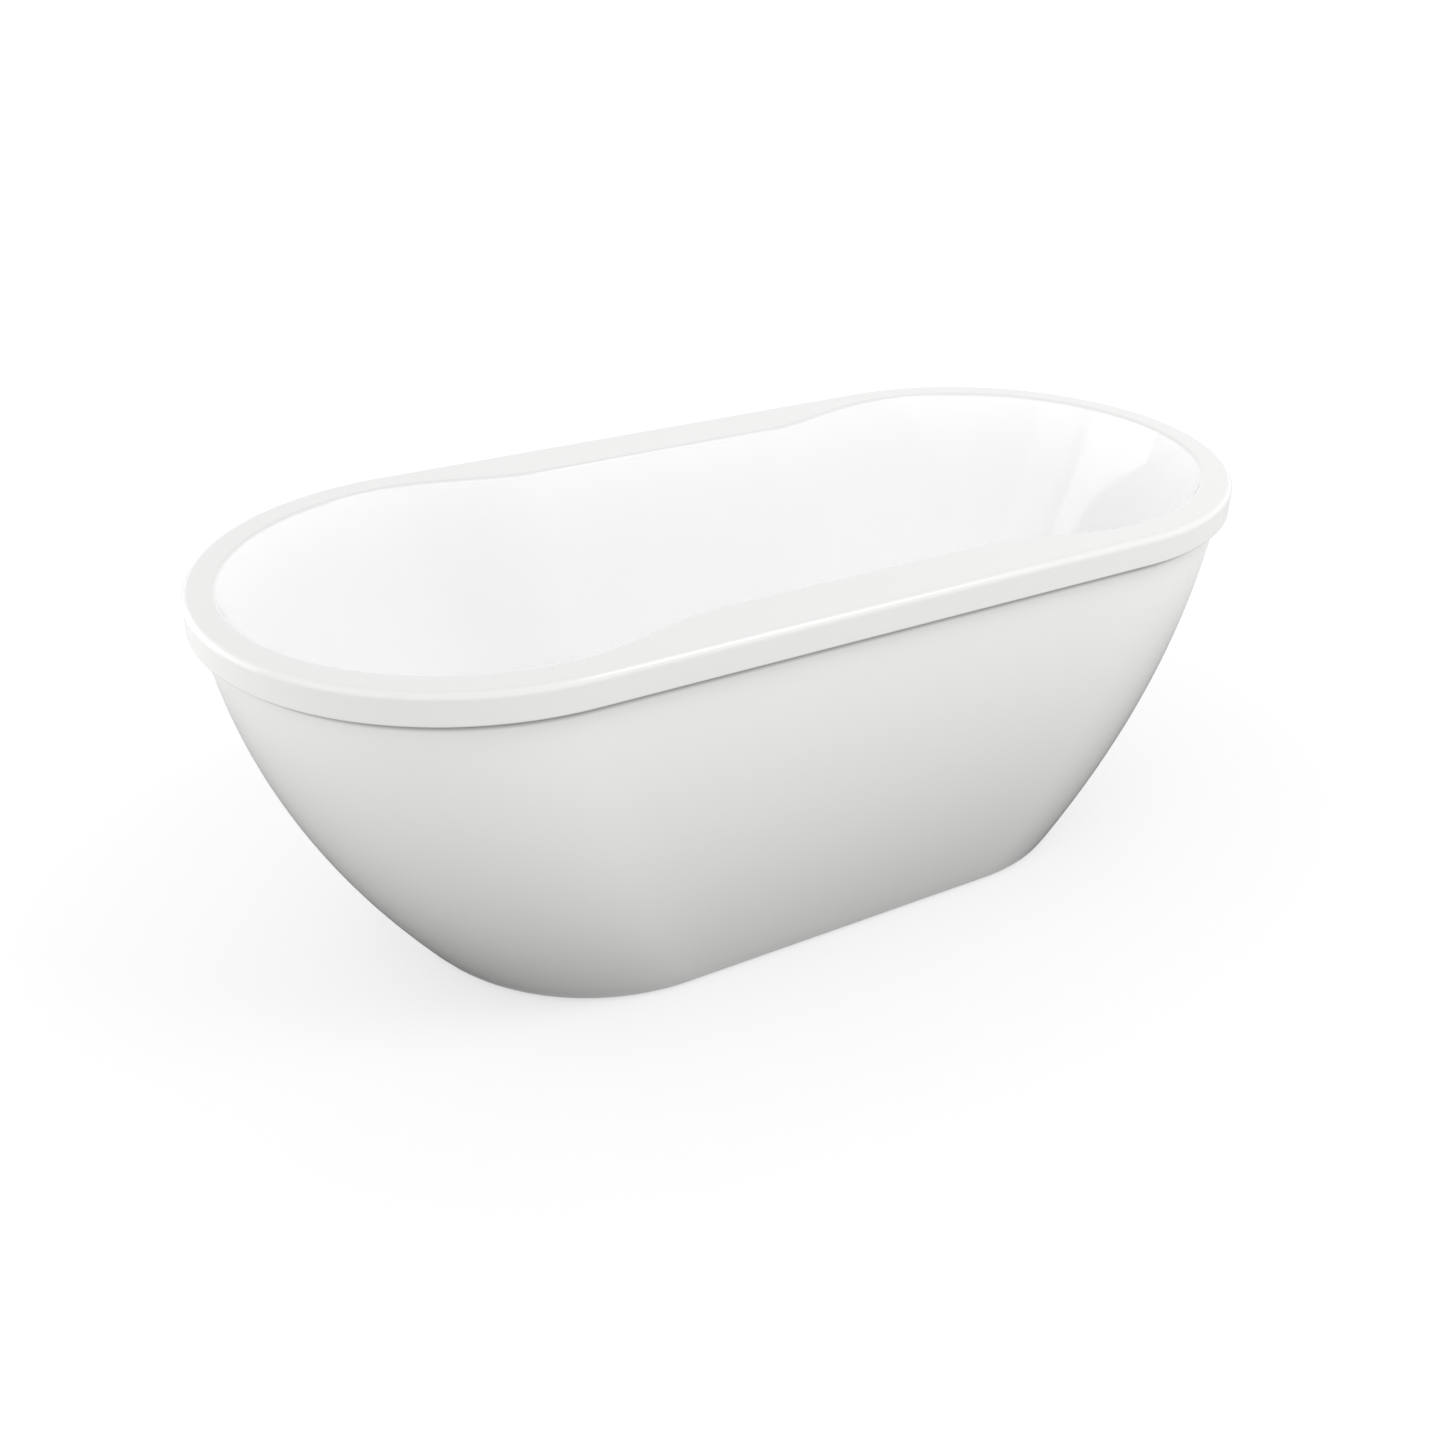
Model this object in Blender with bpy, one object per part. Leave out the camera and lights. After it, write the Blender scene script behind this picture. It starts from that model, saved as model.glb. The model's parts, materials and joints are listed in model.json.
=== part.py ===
# Freestanding bathtub: a moulded inner shell with a wide rolled rim, a tapered one-piece
# outer skirt under the rim, and below the floor a board, a steel frame on levelling feet,
# a click waste and an overflow.
# Metres, +Z up. The origin is on the floor under the middle of the tub, +X is along its
# length, and the overflow is on the -Y side.
import math

import bmesh
import bpy
from mathutils import Vector

# ---------------------------------------------------------------- driving dimensions
LENGTH = 1.700
WIDTH = 0.790
HEIGHT = 0.600
GAP = 0.0003                      # clearance between pieces that touch

# Rim
LIP_HEIGHT = 0.046                # downturned edge of the rim
LIP_EDGE_RADIUS = 0.010           # rounding between the deck and the lip
LIP_FOOT_RADIUS = 0.002
SHELL_THICKNESS = 0.006
DECK_END_WIDTH = 0.040            # flat deck at the two ends
DECK_SHOULDER_WIDTH = 0.049       # flat deck where the long sides start
DECK_ARM_WIDTH = 0.098            # wide flat deck along the middle of the long sides
ARM_START = 0.47                  # share of the straight side that is wide deck
BASIN_ROLL = 0.006                # rounding between the deck and the basin

# Basin
FLOOR_HALF_LENGTH = 0.500
FLOOR_HALF_WIDTH = 0.200
FLOOR_STRAIGHT = 0.300
FLOOR_EDGE_Z = 0.152
DRAIN_LAND_Z = 0.147
DRAIN_LAND_RADIUS = 0.042
DRAIN_HOLE_RADIUS = 0.0262
FLOOR_UNDERSIDE_Z = 0.139
WALL_SLANT = 0.5                  # share of the wall's inset that is a plain slant
COVE_SQUARENESS = 3.0

# Skirt
SKIRT_FOOT_Z = 0.003
SKIRT_FOOT_HALF_LENGTH = 0.585
SKIRT_FOOT_HALF_WIDTH = 0.305
SKIRT_INSET = 0.0165              # how far the skirt stands back from the face of the lip
SKIRT_THICKNESS = 0.004
SKIRT_FLANGE = 0.029              # inward return along the foot
SKIRT_BULGE_LOW = 0.60
SKIRT_BULGE_HIGH = 0.91

# Board, battens and frame
BOARD_SIZE = (1.040, 0.410, 0.018)
BOARD_DRAIN_HOLE_RADIUS = 0.052
BATTEN_SIZE = (0.560, 0.038, 0.018)
BATTEN_Y = 0.3405
RAIL_LENGTH = 1.060
RAIL_Y = 0.170
TUBE_SIZE = 0.030
TUBE_WALL = 0.002
CROSSBAR_X = (-0.380, -0.190, 0.190, 0.380)
BOARD_SCREW_X = 0.290
BRACKET_X = 0.240
BRACKET_WIDTH = 0.030
BRACKET_PLATE = 0.0025
BRACKET_REACH = 0.111
BRACKET_SCREW_INSET = 0.010

# Screws: shank radius, head radius and head height
SCREW_PROPORTIONS = {"top": 0.7, "shoulder": 0.55, "point": 0.4}   # shares of the radii and height
BOARD_SCREW = (0.0022, 0.0045, 0.0028)
BOARD_SCREW_GRIP = 0.014          # depth into the board
BOARD_PILOT_DEPTH = 0.016
BRACKET_SCREW = (0.002, 0.004, 0.0024)
OVERFLOW_SCREW = (0.003, 0.006, 0.003)
OVERFLOW_SCREW_LENGTH = 0.036
SCREW_HOLE_LENGTH = 0.030         # guide body for a hole through the bracket and the skirt

# Levelling feet (M12 screws)
FOOT_END_X = 0.460
FOOT_MIDDLE_X = 0.120
STEM_RADIUS = 0.006
STEM_HOLE_RADIUS = 0.0067
STEM_SEAT_Z = 0.006
STEM_TOP_Z = 0.115
PAD_RADIUS = 0.025
PAD_HEIGHT = 0.016
PAD_EDGE_HEIGHT = 0.006           # height of its upright edge
PAD_NECK_RADIUS = 0.012
CHAMFER = 0.001                   # on pads, screws and the waste
NUT_ACROSS_FLATS = 0.019
NUT_HEIGHT = 0.008

# Click waste at the middle of the floor
FLANGE_RADIUS = 0.035
FLANGE_THICKNESS = 0.003
TAIL_RADIUS = 0.0235
TAIL_BORE = 0.0205
TAIL_LENGTH = 0.032
HUB_RADIUS = 0.008
HUB_BORE = 0.0045
HUB_HEIGHT = 0.012
HUB_DROP = 0.030
SPOKE_WIDTH = 0.003
SPOKE_HEIGHT = 0.006
POST_RADIUS = 0.004
POST_LENGTH = 0.041
SEAL_THICKNESS = 0.0026
SEAL_INNER_RADIUS = 0.015
SEAL_OVERLAP = 0.005              # past the bore of the flange
CAP_RADIUS = 0.029
CAP_HEIGHT = 0.005
CAP_EDGE_TOP = 0.003              # top of its upright edge
CAP_CROWN = ((0.002, 0.0043), (0.009, CAP_HEIGHT))   # (inset from the edge, height) over the crown
GASKET_RADIUS = 0.040
GASKET_THICKNESS = 0.003
WASTE_BODY_HEIGHT = 0.052
WASTE_BODY_RADIUS = 0.030
WASTE_BODY_TAPER = 0.016          # height of the cone down to the tee
COLLAR_RADIUS = 0.042
COLLAR_HEIGHT = 0.005
TEE_RADIUS = 0.024
TEE_BORE = 0.019
TEE_FOOT_Z = 0.018
OUTLET_NUT_WALL = 0.006
OUTLET_NUT_HEIGHT = 0.014
BRANCH_Z = 0.055
BRANCH_LENGTH = 0.062

# Overflow on the -Y wall
OVERFLOW_DEPTH_SHARE = (0.07, 0.27)   # flat band of the wall that carries the overflow
OVERFLOW_HOLE_RADIUS = 0.0262
COVER_RADIUS = 0.034
COVER_DEPTH = 0.010
COVER_WALL = 0.0022
COVER_SCREW_HOLE = 0.0034
COVER_SLOT = (0.030, 0.020)       # width and depth of the slot in the cover's lower edge
ELBOW_RADIUS = 0.025
ELBOW_DEPTH = 0.040
ELBOW_WALL = 0.003
ELBOW_FLANGE = 0.034
ELBOW_FLANGE_THICKNESS = 0.004
OUTLET_RADIUS = 0.0195
OUTLET_LENGTH = 0.048
OVERFLOW_HOLE_LENGTH = 0.050      # guide body for the hole through the wall
HOSE_RADIUS = 0.016
HOSE_BORE = 0.0135
HOSE_SOCKET = 0.014               # depth of the hose in the elbow
HOSE_TEE_SOCKET = 0.016           # depth of the hose in the tee
HOSE_STRAIGHT_DROP = 0.030
HOSE_CURVE_DROP = 0.300           # reach of the curve's upper handle
HOSE_LEVEL_REACH = 0.140          # reach of its lower handle
HOSE_LEVEL_Y = -0.160             # where it is level again

# Mesh resolution
CAP_STEPS = 9                     # per quarter turn of a rounded end
SIDE_STEPS = 7                    # per half of a long side
ROLL_STEP = math.radians(30)      # along the rim's rounded edges
WALL_SHARES = (0.47, 0.65, 0.79, 0.89, 0.955, 0.99)   # of the depth, below the overflow's band
SKIRT_LEVELS = 8
ROUND_SEGMENTS = 24
SMALL_SEGMENTS = 12
HOSE_SEGMENTS = 16
HOSE_STEPS = 14
SMOOTH_ANGLE = math.radians(35)

# Heights that follow from the stack under the floor
BOARD_TOP_Z = FLOOR_UNDERSIDE_Z - GAP
BOARD_FOOT_Z = BOARD_TOP_Z - BOARD_SIZE[2]
RAIL_TOP_Z = BOARD_FOOT_Z - GAP
RAIL_FOOT_Z = RAIL_TOP_Z - TUBE_SIZE
LIP_FOOT_Z = HEIGHT - LIP_HEIGHT
THROAT_Z = HEIGHT - BASIN_ROLL
WALL_DEPTH = THROAT_Z - FLOOR_EDGE_Z


# ---------------------------------------------------------------- scene and materials
def clear_scene():
    for item in list(bpy.data.objects):
        bpy.data.objects.remove(item, do_unlink=True)


def make_material(name, color, roughness, metallic=0.0):
    material = bpy.data.materials.new(name)
    material.use_nodes = True
    shader = material.node_tree.nodes["Principled BSDF"]
    shader.inputs["Base Color"].default_value = (*color, 1.0)
    shader.inputs["Roughness"].default_value = roughness
    shader.inputs["Metallic"].default_value = metallic
    return material


def make_materials():
    return {
        "acrylic_shell": make_material("acrylic_shell", (0.86, 0.86, 0.855), 0.08),
        "acrylic_skirt": make_material("acrylic_skirt", (0.80, 0.80, 0.79), 0.16),
        "plywood": make_material("plywood", (0.62, 0.46, 0.29), 0.75),
        "galvanised_steel": make_material("galvanised_steel", (0.60, 0.61, 0.62), 0.42, 1.0),
        "zinc_plated": make_material("zinc_plated", (0.72, 0.71, 0.68), 0.30, 1.0),
        "black_nylon": make_material("black_nylon", (0.035, 0.035, 0.037), 0.55),
        "chrome": make_material("chrome", (0.88, 0.88, 0.89), 0.06, 1.0),
        "black_rubber": make_material("black_rubber", (0.025, 0.025, 0.025), 0.70),
        "waste_plastic": make_material("waste_plastic", (0.74, 0.74, 0.72), 0.45),
    }


# ---------------------------------------------------------------- mesh helpers
def add_object(name, bm, material=None, location=(0, 0, 0), rotation=(0, 0, 0), smooth=False):
    bmesh.ops.remove_doubles(bm, verts=bm.verts, dist=1e-6)
    bmesh.ops.recalc_face_normals(bm, faces=bm.faces)
    mesh = bpy.data.meshes.new(name)
    bm.to_mesh(mesh)
    bm.free()
    if smooth:
        mesh.shade_smooth()
        mesh.set_sharp_from_angle(angle=SMOOTH_ANGLE)
    if material:
        mesh.materials.append(material)
    item = bpy.data.objects.new(name, mesh)
    bpy.context.scene.collection.objects.link(item)
    item.location = location
    item.rotation_euler = rotation
    return item


def loft_rings(rings, closed):
    # Quads between rings of points. A closed loft joins the last ring to the first, and
    # an open one has its two ends filled.
    bm = bmesh.new()
    loops = [[bm.verts.new(point) for point in ring] for ring in rings]
    count = len(rings[0])
    pairs = list(zip(loops, loops[1:]))
    if closed:
        pairs.append((loops[-1], loops[0]))
    for lower, upper in pairs:
        for i in range(count):
            j = (i + 1) % count
            bm.faces.new((lower[i], lower[j], upper[j], upper[i]))
    if not closed:
        bm.faces.new(loops[0])
        bm.faces.new(loops[-1])
    return bm


def circle_points(radius, z, segments):
    angles = [2 * math.pi * (i + 0.5) / segments for i in range(segments)]
    return [(radius * math.cos(a), radius * math.sin(a), z) for a in angles]


def turned(profile, segments=ROUND_SEGMENTS, bored=True):
    # A turned piece. A bored one has a closed (radius, z) profile away from its axis. A
    # solid one has an open profile whose two ends are the rims of its flat end faces.
    rings = [circle_points(radius, z, segments) for radius, z in profile]
    return loft_rings(rings, closed=bored)


def ring_profile(inner, outer, low, high):
    return [(inner, low), (outer, low), (outer, high), (inner, high)]


def extruded(points, width):
    # A flat outline in the YZ plane, extruded along X about its middle.
    rings = [[(x, y, z) for y, z in points] for x in (-width / 2, width / 2)]
    return loft_rings(rings, closed=False)


def swept_tube(path, outer, inner, segments):
    # A round tube with a bore, carried along a path that lies in the YZ plane.
    def section(index, radius):
        before = path[max(index - 1, 0)]
        after = path[min(index + 1, len(path) - 1)]
        tangent = (after - before).normalized()
        side = Vector((1, 0, 0))
        up = tangent.cross(side)
        ring = []
        for i in range(segments):
            angle = 2 * math.pi * i / segments
            ring.append(path[index] + radius * (math.cos(angle) * side + math.sin(angle) * up))
        return ring

    outside = [section(i, outer) for i in range(len(path))]
    inside = [section(i, inner) for i in reversed(range(len(path)))]
    return loft_rings(outside + inside, closed=True)


def add_boolean(target, other, operation="DIFFERENCE"):
    other.hide_render = True
    other.display_type = "WIRE"
    modifier = target.modifiers.new(other.name, "BOOLEAN")
    modifier.operation = operation
    modifier.solver = "EXACT"
    modifier.object = other


def rod(name, radius, length, location, rotation=(0, 0, 0), segments=SMALL_SEGMENTS):
    # A plain round guide body for a hole or a joined stub, centred on its location.
    profile = [(radius, -length / 2), (radius, length / 2)]
    return add_object(name, turned(profile, segments, bored=False), None, location, rotation)


# ---------------------------------------------------------------- outlines
def smooth_step(share):
    share = min(max(share, 0.0), 1.0)
    return share * share * (3 - 2 * share)


def outline(half_length, shoulder, waist, straight):
    # Rounded ends joined by long sides whose half width eases from shoulder to waist.
    quarter = []
    for k in range(CAP_STEPS + 1):
        angle = math.radians(90) * k / CAP_STEPS
        x = straight + (half_length - straight) * math.cos(angle)
        quarter.append((x, shoulder * math.sin(angle)))
    for j in range(1, SIDE_STEPS + 1):
        share = 1 - j / SIDE_STEPS
        ease = smooth_step((share - ARM_START) / (1 - ARM_START))
        quarter.append((straight * share, waist + (shoulder - waist) * ease))
    left_back = [(-x, y) for x, y in reversed(quarter[:-1])]
    left_front = [(-x, -y) for x, y in quarter[1:]]
    right_front = [(x, -y) for x, y in reversed(quarter[1:-1])]
    return quarter + left_back + left_front + right_front


def at_height(points, z):
    return [(x, y, z) for x, y in points]


def stadium(half_length, half_width):
    return outline(half_length, half_width, half_width, half_length - half_width)


def circle_towards(points, radius):
    # A circle whose points lie in the same directions as those of a larger outline.
    return [(radius * x / math.hypot(x, y), radius * y / math.hypot(x, y)) for x, y in points]


def basin_section(inset_share, outward=0.0):
    # Outline of the basin wall, from its throat under the deck (0) to the floor (1).
    def mix(throat, floor):
        return throat + (floor - throat) * inset_share

    half_length = mix(LENGTH / 2 - DECK_END_WIDTH - BASIN_ROLL, FLOOR_HALF_LENGTH)
    shoulder = mix(WIDTH / 2 - DECK_SHOULDER_WIDTH - BASIN_ROLL, FLOOR_HALF_WIDTH)
    waist = mix(WIDTH / 2 - DECK_ARM_WIDTH - BASIN_ROLL, FLOOR_HALF_WIDTH)
    straight = mix((LENGTH - WIDTH) / 2, FLOOR_STRAIGHT)
    return outline(half_length + outward, shoulder + outward, waist + outward, straight)


def wall_inset(depth_share):
    # Share of the inset at a share of the depth: a slant, and a cove that meets the floor.
    cove = 1 - math.sqrt(max(0.0, 1 - depth_share ** COVE_SQUARENESS))
    return WALL_SLANT * depth_share + (1 - WALL_SLANT) * cove


def wall_rows():
    # (inset share, height, share of the floor's extra thickness) from throat to floor.
    shares = [0.0, *OVERFLOW_DEPTH_SHARE, *WALL_SHARES, 1.0]
    rows = []
    for share in shares:
        inset = wall_inset(share)
        rows.append((inset, THROAT_Z - WALL_DEPTH * share, inset ** 2))
    return rows


# ---------------------------------------------------------------- shell and skirt
def shell_rings():
    floor = basin_section(1.0)
    rings = [
        at_height(circle_towards(floor, DRAIN_HOLE_RADIUS), DRAIN_LAND_Z),
        at_height(circle_towards(floor, DRAIN_LAND_RADIUS), DRAIN_LAND_Z),
    ]
    for inset, z, _ in reversed(wall_rows()):
        rings.append(at_height(basin_section(inset), z))
    for angle in (2 * ROLL_STEP, ROLL_STEP, 0.0):
        outward = BASIN_ROLL * (1 - math.sin(angle))
        drop = BASIN_ROLL * (1 - math.cos(angle))
        rings.append(at_height(basin_section(0.0, outward), HEIGHT - drop))
    for step in range(4):
        angle = ROLL_STEP * step
        inset = LIP_EDGE_RADIUS * (1 - math.sin(angle))
        drop = LIP_EDGE_RADIUS * (1 - math.cos(angle))
        rings.append(at_height(stadium(LENGTH / 2 - inset, WIDTH / 2 - inset), HEIGHT - drop))
    lip_face = stadium(LENGTH / 2, WIDTH / 2)
    lip_toe = stadium(LENGTH / 2 - LIP_FOOT_RADIUS, WIDTH / 2 - LIP_FOOT_RADIUS)
    lip_back = stadium(LENGTH / 2 - SHELL_THICKNESS, WIDTH / 2 - SHELL_THICKNESS)
    rings.append(at_height(lip_face, LIP_FOOT_Z + LIP_FOOT_RADIUS))
    rings.append(at_height(lip_toe, LIP_FOOT_Z))
    rings.append(at_height(lip_back, LIP_FOOT_Z))
    rings.append(at_height(lip_back, HEIGHT - SHELL_THICKNESS))
    rings.append(at_height(basin_section(0.0, SHELL_THICKNESS), HEIGHT - SHELL_THICKNESS))
    floor_extra = FLOOR_EDGE_Z - FLOOR_UNDERSIDE_Z
    for inset, z, thickening in wall_rows()[1:]:
        section = basin_section(inset, SHELL_THICKNESS)
        rings.append(at_height(section, z - floor_extra * thickening))
    rings.append(at_height(circle_towards(floor, DRAIN_HOLE_RADIUS), FLOOR_UNDERSIDE_Z))
    return rings


def skirt_size(share):
    # Half length and half width at a share of the height from the foot to the lip.
    low = 3 * (1 - share) ** 2 * share * SKIRT_BULGE_LOW
    high = 3 * (1 - share) * share ** 2 * SKIRT_BULGE_HIGH
    bulge = low + high + share ** 3
    top_half_length = LENGTH / 2 - SKIRT_INSET
    top_half_width = WIDTH / 2 - SKIRT_INSET
    half_length = SKIRT_FOOT_HALF_LENGTH + (top_half_length - SKIRT_FOOT_HALF_LENGTH) * bulge
    half_width = SKIRT_FOOT_HALF_WIDTH + (top_half_width - SKIRT_FOOT_HALF_WIDTH) * bulge
    return half_length, half_width


def skirt_rings():
    def section(share, inward, z):
        half_length, half_width = skirt_size(share)
        points = outline(half_length - inward, half_width - inward, half_width - inward,
                         half_length - half_width)
        return at_height(points, z)

    rise = LIP_FOOT_Z - SKIRT_FOOT_Z
    top = HEIGHT - SHELL_THICKNESS - GAP
    flange_top = SKIRT_FOOT_Z + SKIRT_THICKNESS
    rings = [section(0.0, SKIRT_FLANGE, SKIRT_FOOT_Z)]
    shares = [i / SKIRT_LEVELS for i in range(SKIRT_LEVELS + 1)]
    rings += [section(share, 0.0, SKIRT_FOOT_Z + rise * share) for share in shares]
    rings.append(section(1.0, 0.0, top))
    rings.append(section(1.0, SKIRT_THICKNESS, top))
    for share in reversed(shares[1:]):
        rings.append(section(share, SKIRT_THICKNESS, SKIRT_FOOT_Z + rise * share))
    rings.append(section(0.0, SKIRT_THICKNESS, flange_top))
    rings.append(section(0.0, SKIRT_FLANGE, flange_top))
    return rings


def make_shell(materials):
    bm = loft_rings(shell_rings(), closed=True)
    return add_object("tub_shell", bm, materials["acrylic_shell"], smooth=True)


def make_skirt(materials):
    bm = loft_rings(skirt_rings(), closed=True)
    return add_object("outer_skirt", bm, materials["acrylic_skirt"], smooth=True)


# ---------------------------------------------------------------- board, battens, frame
def box_points(size):
    x, y, z = (side / 2 for side in size)
    base = [(-x, -y), (x, -y), (x, y), (-x, y)]
    return [[(px, py, pz) for px, py in base] for pz in (-z, z)]


def make_board(materials):
    z = BOARD_FOOT_Z + BOARD_SIZE[2] / 2
    bm = loft_rings(box_points(BOARD_SIZE), closed=False)
    board = add_object("base_board", bm, materials["plywood"], (0, 0, z))
    add_boolean(board, rod("board_drain_hole", BOARD_DRAIN_HOLE_RADIUS, 2 * BOARD_SIZE[2],
                           (0, 0, z), segments=ROUND_SEGMENTS))
    return board


def make_battens(materials):
    z = HEIGHT - SHELL_THICKNESS - GAP - BATTEN_SIZE[2] / 2
    for side, name in ((-1, "rim_batten_front"), (1, "rim_batten_back")):
        bm = loft_rings(box_points(BATTEN_SIZE), closed=False)
        add_object(name, bm, materials["plywood"], (0, side * BATTEN_Y, z))


def square_tube(length):
    # Square tube along X, open at both ends.
    def square(x, half):
        return [(x, -half, -half), (x, half, -half), (x, half, half), (x, -half, half)]

    outer = TUBE_SIZE / 2
    inner = outer - TUBE_WALL
    end = length / 2
    rings = [square(-end, outer), square(end, outer), square(end, inner), square(-end, inner)]
    return loft_rings(rings, closed=True)


def make_frame(materials):
    steel = materials["galvanised_steel"]
    z = (RAIL_TOP_Z + RAIL_FOOT_Z) / 2
    rails = {}
    for side, name in ((-1, "frame_rail_front"), (1, "frame_rail_back")):
        rails[side] = add_object(name, square_tube(RAIL_LENGTH), steel, (0, side * RAIL_Y, z))
    between = 2 * (RAIL_Y - TUBE_SIZE / 2 - GAP)
    for number, x in enumerate(CROSSBAR_X, start=1):
        add_object(f"frame_crossbar_{number}", square_tube(between), steel, (x, 0, z),
                   (0, 0, math.radians(90)))
    return rails


def screw_body(size, shank_length):
    # A screw whose head's seat is at z = 0, with its head below and its point above.
    shank_radius, head_radius, head_height = size
    point = shank_radius * SCREW_PROPORTIONS["point"]
    profile = [
        (head_radius * SCREW_PROPORTIONS["top"], -head_height),
        (head_radius, -head_height * SCREW_PROPORTIONS["shoulder"]),
        (head_radius, 0.0),
        (shank_radius, 0.0),
        (shank_radius, shank_length - 2 * shank_radius),
        (point, shank_length),
    ]
    return turned(profile, SMALL_SEGMENTS, bored=False)


def make_board_screws(materials, board, rails):
    # Screws up through both walls of a rail into the board.
    shank_length = TUBE_SIZE + BOARD_SCREW_GRIP
    hole_radius = BOARD_SCREW[0] + 2 * GAP
    number = 0
    for side, rail in rails.items():
        for x in (-BOARD_SCREW_X, BOARD_SCREW_X):
            number += 1
            y = side * RAIL_Y
            hole = rod(f"board_screw_hole_{number}", hole_radius, 2 * shank_length,
                       (x, y, RAIL_FOOT_Z))
            add_boolean(rail, hole)
            pilot = rod(f"board_pilot_{number}", hole_radius, 2 * BOARD_PILOT_DEPTH,
                        (x, y, BOARD_FOOT_Z))
            add_boolean(board, pilot)
            bm = screw_body(BOARD_SCREW, shank_length)
            add_object(f"board_screw_{number}", bm, materials["zinc_plated"],
                       (x, y, RAIL_FOOT_Z - GAP), smooth=True)


def make_brackets(materials, skirt):
    # Angle brackets from the rails down and out onto the skirt's bottom return.
    flange_top = SKIRT_FOOT_Z + SKIRT_THICKNESS
    foot_z = flange_top + GAP
    inner_y = RAIL_Y + TUBE_SIZE / 2 + GAP
    screw_y = inner_y + BRACKET_REACH - BRACKET_SCREW_INSET
    number = 0
    for side in (-1, 1):
        for x in (-BRACKET_X, BRACKET_X):
            number += 1
            profile = [
                (side * inner_y, RAIL_TOP_Z),
                (side * inner_y, foot_z),
                (side * (inner_y + BRACKET_REACH), foot_z),
                (side * (inner_y + BRACKET_REACH), foot_z + BRACKET_PLATE),
                (side * (inner_y + BRACKET_PLATE), foot_z + BRACKET_PLATE),
                (side * (inner_y + BRACKET_PLATE), RAIL_TOP_Z),
            ]
            bracket = add_object(f"skirt_bracket_{number}", extruded(profile, BRACKET_WIDTH),
                                 materials["galvanised_steel"], (x, 0, 0))
            seat_z = foot_z + BRACKET_PLATE + GAP
            hole = rod(f"bracket_hole_{number}", BRACKET_SCREW[0] + 2 * GAP, SCREW_HOLE_LENGTH,
                       (x, side * screw_y, seat_z))
            add_boolean(bracket, hole)
            add_boolean(skirt, hole)
            bm = screw_body(BRACKET_SCREW, BRACKET_PLATE + SKIRT_THICKNESS)
            add_object(f"bracket_screw_{number}", bm, materials["zinc_plated"],
                       (x, side * screw_y, seat_z), (math.radians(180), 0, 0), smooth=True)


# ---------------------------------------------------------------- levelling feet
def foot_positions():
    return [
        (-FOOT_END_X, -RAIL_Y, -1),
        (-FOOT_MIDDLE_X, -RAIL_Y, -1),
        (FOOT_END_X, -RAIL_Y, -1),
        (-FOOT_END_X, RAIL_Y, 1),
        (FOOT_MIDDLE_X, RAIL_Y, 1),
        (FOOT_END_X, RAIL_Y, 1),
    ]


def pad_body():
    # A round pad with a blind socket for the screw.
    socket = STEM_RADIUS + 2 * GAP
    profile = [
        (PAD_RADIUS - CHAMFER, 0.0),
        (PAD_RADIUS, CHAMFER),
        (PAD_RADIUS, PAD_EDGE_HEIGHT),
        (PAD_NECK_RADIUS, PAD_HEIGHT),
        (socket, PAD_HEIGHT),
        (socket, STEM_SEAT_Z - GAP),
    ]
    return turned(profile, ROUND_SEGMENTS, bored=False)


def stem_body():
    height = STEM_TOP_Z - STEM_SEAT_Z
    profile = [
        (STEM_RADIUS - CHAMFER, 0.0),
        (STEM_RADIUS, CHAMFER),
        (STEM_RADIUS, height - CHAMFER),
        (STEM_RADIUS - CHAMFER, height),
    ]
    return turned(profile, SMALL_SEGMENTS, bored=False)


def nut_body():
    # A hexagon nut whose outline has a point at each corner and at the middle of each flat.
    def hexagon(z):
        ring = []
        for i in range(SMALL_SEGMENTS):
            angle = 2 * math.pi * (i + 0.5) / SMALL_SEGMENTS
            corner = 1 / math.cos(math.radians(30)) if i % 2 else 1.0
            radius = NUT_ACROSS_FLATS / 2 * corner
            ring.append((radius * math.cos(angle), radius * math.sin(angle), z))
        return ring

    bore = STEM_HOLE_RADIUS
    low = circle_points(bore, 0.0, SMALL_SEGMENTS)
    high = circle_points(bore, NUT_HEIGHT, SMALL_SEGMENTS)
    return loft_rings([low, hexagon(0.0), hexagon(NUT_HEIGHT), high], closed=True)


def make_feet(materials, rails):
    for number, (x, y, side) in enumerate(foot_positions(), start=1):
        add_object(f"foot_pad_{number}", pad_body(), materials["black_nylon"], (x, y, 0),
                   smooth=True)
        add_object(f"foot_stem_{number}", stem_body(), materials["zinc_plated"],
                   (x, y, STEM_SEAT_Z), smooth=True)
        add_object(f"foot_lock_nut_{number}", nut_body(), materials["zinc_plated"],
                   (x, y, RAIL_FOOT_Z - GAP - NUT_HEIGHT))
        hole = rod(f"foot_hole_{number}", STEM_HOLE_RADIUS, TUBE_SIZE / 2, (x, y, RAIL_FOOT_Z))
        add_boolean(rails[side], hole)


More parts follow.
